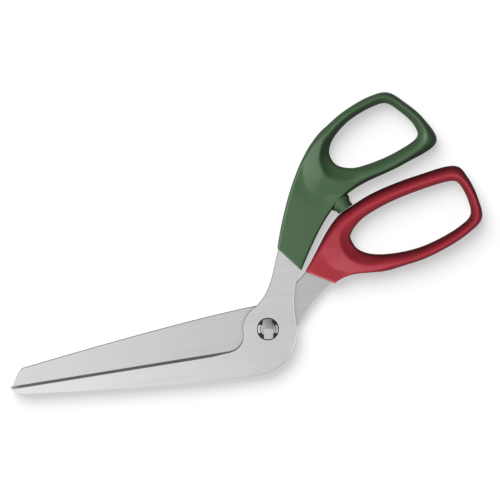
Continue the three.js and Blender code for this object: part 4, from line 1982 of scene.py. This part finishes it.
@dataclass
class Studio:
    """Camera, light and the pale floor.

    Turns are degrees from the picture's right. The floor shows a glow and a grey to the camera but
    gives off little light, and metal mirrors a paler part of the sky.
    """

    frame_width: float = 260.0
    aim: tuple[float, float] = (-2.67, 42.05)
    turn: float = -9.2
    lens: float = 400.0
    sensor: float = 36.0
    floor_size: float = 8.0
    floor_gap: float = 0.05
    floor_glow: float = 0.5
    floor_grey: float = 0.5
    floor_bounce: float = 0.06
    sky_light: float = 0.16
    mirrored_turn: float = 215.0
    mirrored_lean: float = 0.9
    mirrored_least: float = 0.25
    mirrored_gain: float = 0.65
    mirrored_from: float = 0.35
    mirrored_to: float = 1.0
    sun_power: float = 3.45
    sun_spread: float = 50.0
    sun_turn: float = 124.0
    sun_rise: float = 1.36
    greens: list[bpy.types.Object] = field(default_factory=list)
    reds: list[bpy.types.Object] = field(default_factory=list)
    steels: list[bpy.types.Object] = field(default_factory=list)

    def camera(self) -> None:
        """Looks straight down, with the blades tilted as photographed."""
        data = bpy.data.cameras.new("camera")
        data.lens = self.lens
        data.sensor_width = self.sensor
        distance = self.frame_width * MM * self.lens / self.sensor
        data.clip_start, data.clip_end = 0.01, distance * 4
        camera = bpy.data.objects.new("camera", data)
        bpy.context.scene.collection.objects.link(camera)
        camera.location = (self.aim[0] * MM, self.aim[1] * MM, distance + STACK.front_top * MM)
        camera.rotation_euler = (0, 0, math.radians(self.turn))
        bpy.context.scene.camera = camera

    def floor(self, lowest: float) -> bpy.types.Object:
        """A wide pale sheet just under the object.

        Args:
            lowest: Height of the object's lowest point, in metres.

        Returns:
            The floor.
        """
        form = bmesh.new()
        bmesh.ops.create_grid(form, x_segments=4, y_segments=4, size=self.floor_size / 2 / MM)
        level_with = Vector((0, 0, lowest / MM - self.floor_gap))
        bmesh.ops.translate(form, verts=form.verts, vec=level_with)
        floor = finished(form, "floor")
        material, bench = new_material("pale_floor")
        path = bench.node("ShaderNodeLightPath")
        seen = bench.out(path, "Is Camera Ray") + bench.out(path, "Is Glossy Ray")
        seen = (seen + bench.out(path, "Is Transmission Ray")).clamped()
        glow: Inputs = {"Color": (1, 1, 1), "Strength": self.floor_glow}
        white = bench.out(bench.node("ShaderNodeEmission", inputs=glow))
        pale, dim = (
            bench.out(bench.node("ShaderNodeBsdfDiffuse", inputs={"Color": (grey, grey, grey)}))
            for grey in (self.floor_grey, self.floor_bounce)
        )
        both = bench.out(bench.node("ShaderNodeAddShader", inputs={0: white, 1: pale}))
        surface = bench.node("ShaderNodeMixShader", inputs={0: seen, 1: dim, 2: both})
        bench.node("ShaderNodeOutputMaterial", inputs={"Surface": bench.out(surface)})
        dress(floor, material)
        return floor

    def world(self) -> None:
        """An even sky for soft light; metal mirrors it paler overhead and to the lower left."""
        world = bpy.data.worlds.new("studio")
        bpy.context.scene.world = world
        world.use_nodes = True
        bench = Bench(world.node_tree)
        path = bench.node("ShaderNodeLightPath")
        way = bench.out(bench.node("ShaderNodeTexCoord"), "Generated")
        toward = heading(self.turn + self.mirrored_turn) * self.mirrored_lean
        lean = bench.axis(way, "X") * float(toward[0]) + bench.axis(way, "Y") * float(toward[1])
        height = lean + bench.axis(way, "Z")
        paler = bench.ramp(height, self.mirrored_from, self.mirrored_to)
        mirrored = self.mirrored_least + paler * self.mirrored_gain
        seen = bench.out(path, "Is Camera Ray")
        glossy = bench.out(path, "Is Glossy Ray") + bench.out(path, "Is Transmission Ray")
        unseen = glossy * mirrored + (1 - glossy) * self.sky_light
        white: Inputs = {"Color": (1, 1, 1), "Strength": seen + (1 - seen) * unseen}
        sky = bench.node("ShaderNodeBackground", inputs=white)
        bench.node("ShaderNodeOutputWorld", inputs={"Surface": bench.out(sky)})

    def hang(self, lamp: Lamp, lit: Sequence[bpy.types.Object]) -> None:
        """Hangs a softbox and points it.

        Args:
            lamp: The softbox.
            lit: The pieces that it lights.
        """
        data = bpy.data.lights.new(lamp.name, "AREA")
        data.shape = "SQUARE"
        data.size = lamp.size
        data.energy = lamp.power
        box = bpy.data.objects.new(lamp.name, data)
        bpy.context.scene.collection.objects.link(box)
        level_way = heading(lamp.azimuth + self.turn) * math.cos(math.radians(lamp.elevation))
        away = Vector((*level_way, math.sin(math.radians(lamp.elevation))))
        box.location = Vector((lamp.aim[0] * MM, lamp.aim[1] * MM, 0)) + away * lamp.distance
        box.rotation_mode = "QUATERNION"
        box.rotation_quaternion = away.to_track_quat("Z", "Y")
        self.light_only(box, lit)

    def light_only(self, lamp: bpy.types.Object, lit: Sequence[bpy.types.Object]) -> None:
        """Keeps a lamp's light to some pieces."""
        receivers = bpy.data.collections.new(lamp.name + "_lights")
        for piece in lit:
            receivers.objects.link(piece)
        lamp.light_linking.receiver_collection = receivers

    def sun(self, floor: bpy.types.Object) -> None:
        """The lamp that casts the soft shadow on the floor, from the picture's upper left."""
        data = bpy.data.lights.new("shadow_lamp", "SUN")
        data.energy = self.sun_power
        data.angle = math.radians(self.sun_spread)
        sun = bpy.data.objects.new("shadow_lamp", data)
        bpy.context.scene.collection.objects.link(sun)
        sun.rotation_mode = "QUATERNION"
        toward = Vector((*heading(self.turn + self.sun_turn), self.sun_rise))
        sun.rotation_quaternion = toward.to_track_quat("Z", "Y")
        self.light_only(sun, [floor])

    def build(self) -> None:
        """Sets up the whole studio."""
        bpy.context.scene.view_settings.view_transform = "Standard"
        self.camera()
        self.world()
        floor = self.floor(CAD_BOX[0].z)
        self.hang(GREEN_LAMP, self.greens)
        self.hang(RED_LAMP, self.reds)
        self.hang(TIP_LAMP, self.steels)
        self.hang(RIM_LAMP, self.steels)
        self.sun(floor)


def carried_over(node: str, finish: SteelFinish) -> bpy.types.Object:
    """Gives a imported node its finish.

    Args:
        node: Name of the node.
        finish: What it is finished in.

    Returns:
        The node's own object.
    """
    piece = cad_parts[node]
    LOG.info("%s: carried over with %d vertices", node, len(piece.data.vertices))
    dress(piece, finish.material())
    return piece


def main() -> None:
    """Builds the scissors piece by piece, then the studio round them."""
    logging.basicConfig(level=logging.INFO, format="%(name)s: %(message)s")
    thumb, finger = thumb_handle(), finger_handle()
    greens = [thumb.build(), StopPeg().build(finger)]
    reds = [finger.build()]
    blades = BladePair()
    pivot = Pivot()
    steels = [
        blades.front(thumb).build(),
        blades.rear(finger).build(),
        pivot.bolt(),
        pivot.washer(),
        carried_over("pivot_nut", PIVOT_STEEL),
    ]
    Studio(greens=greens, reds=reds, steels=steels).build()


if __name__ == "__main__":
    main()
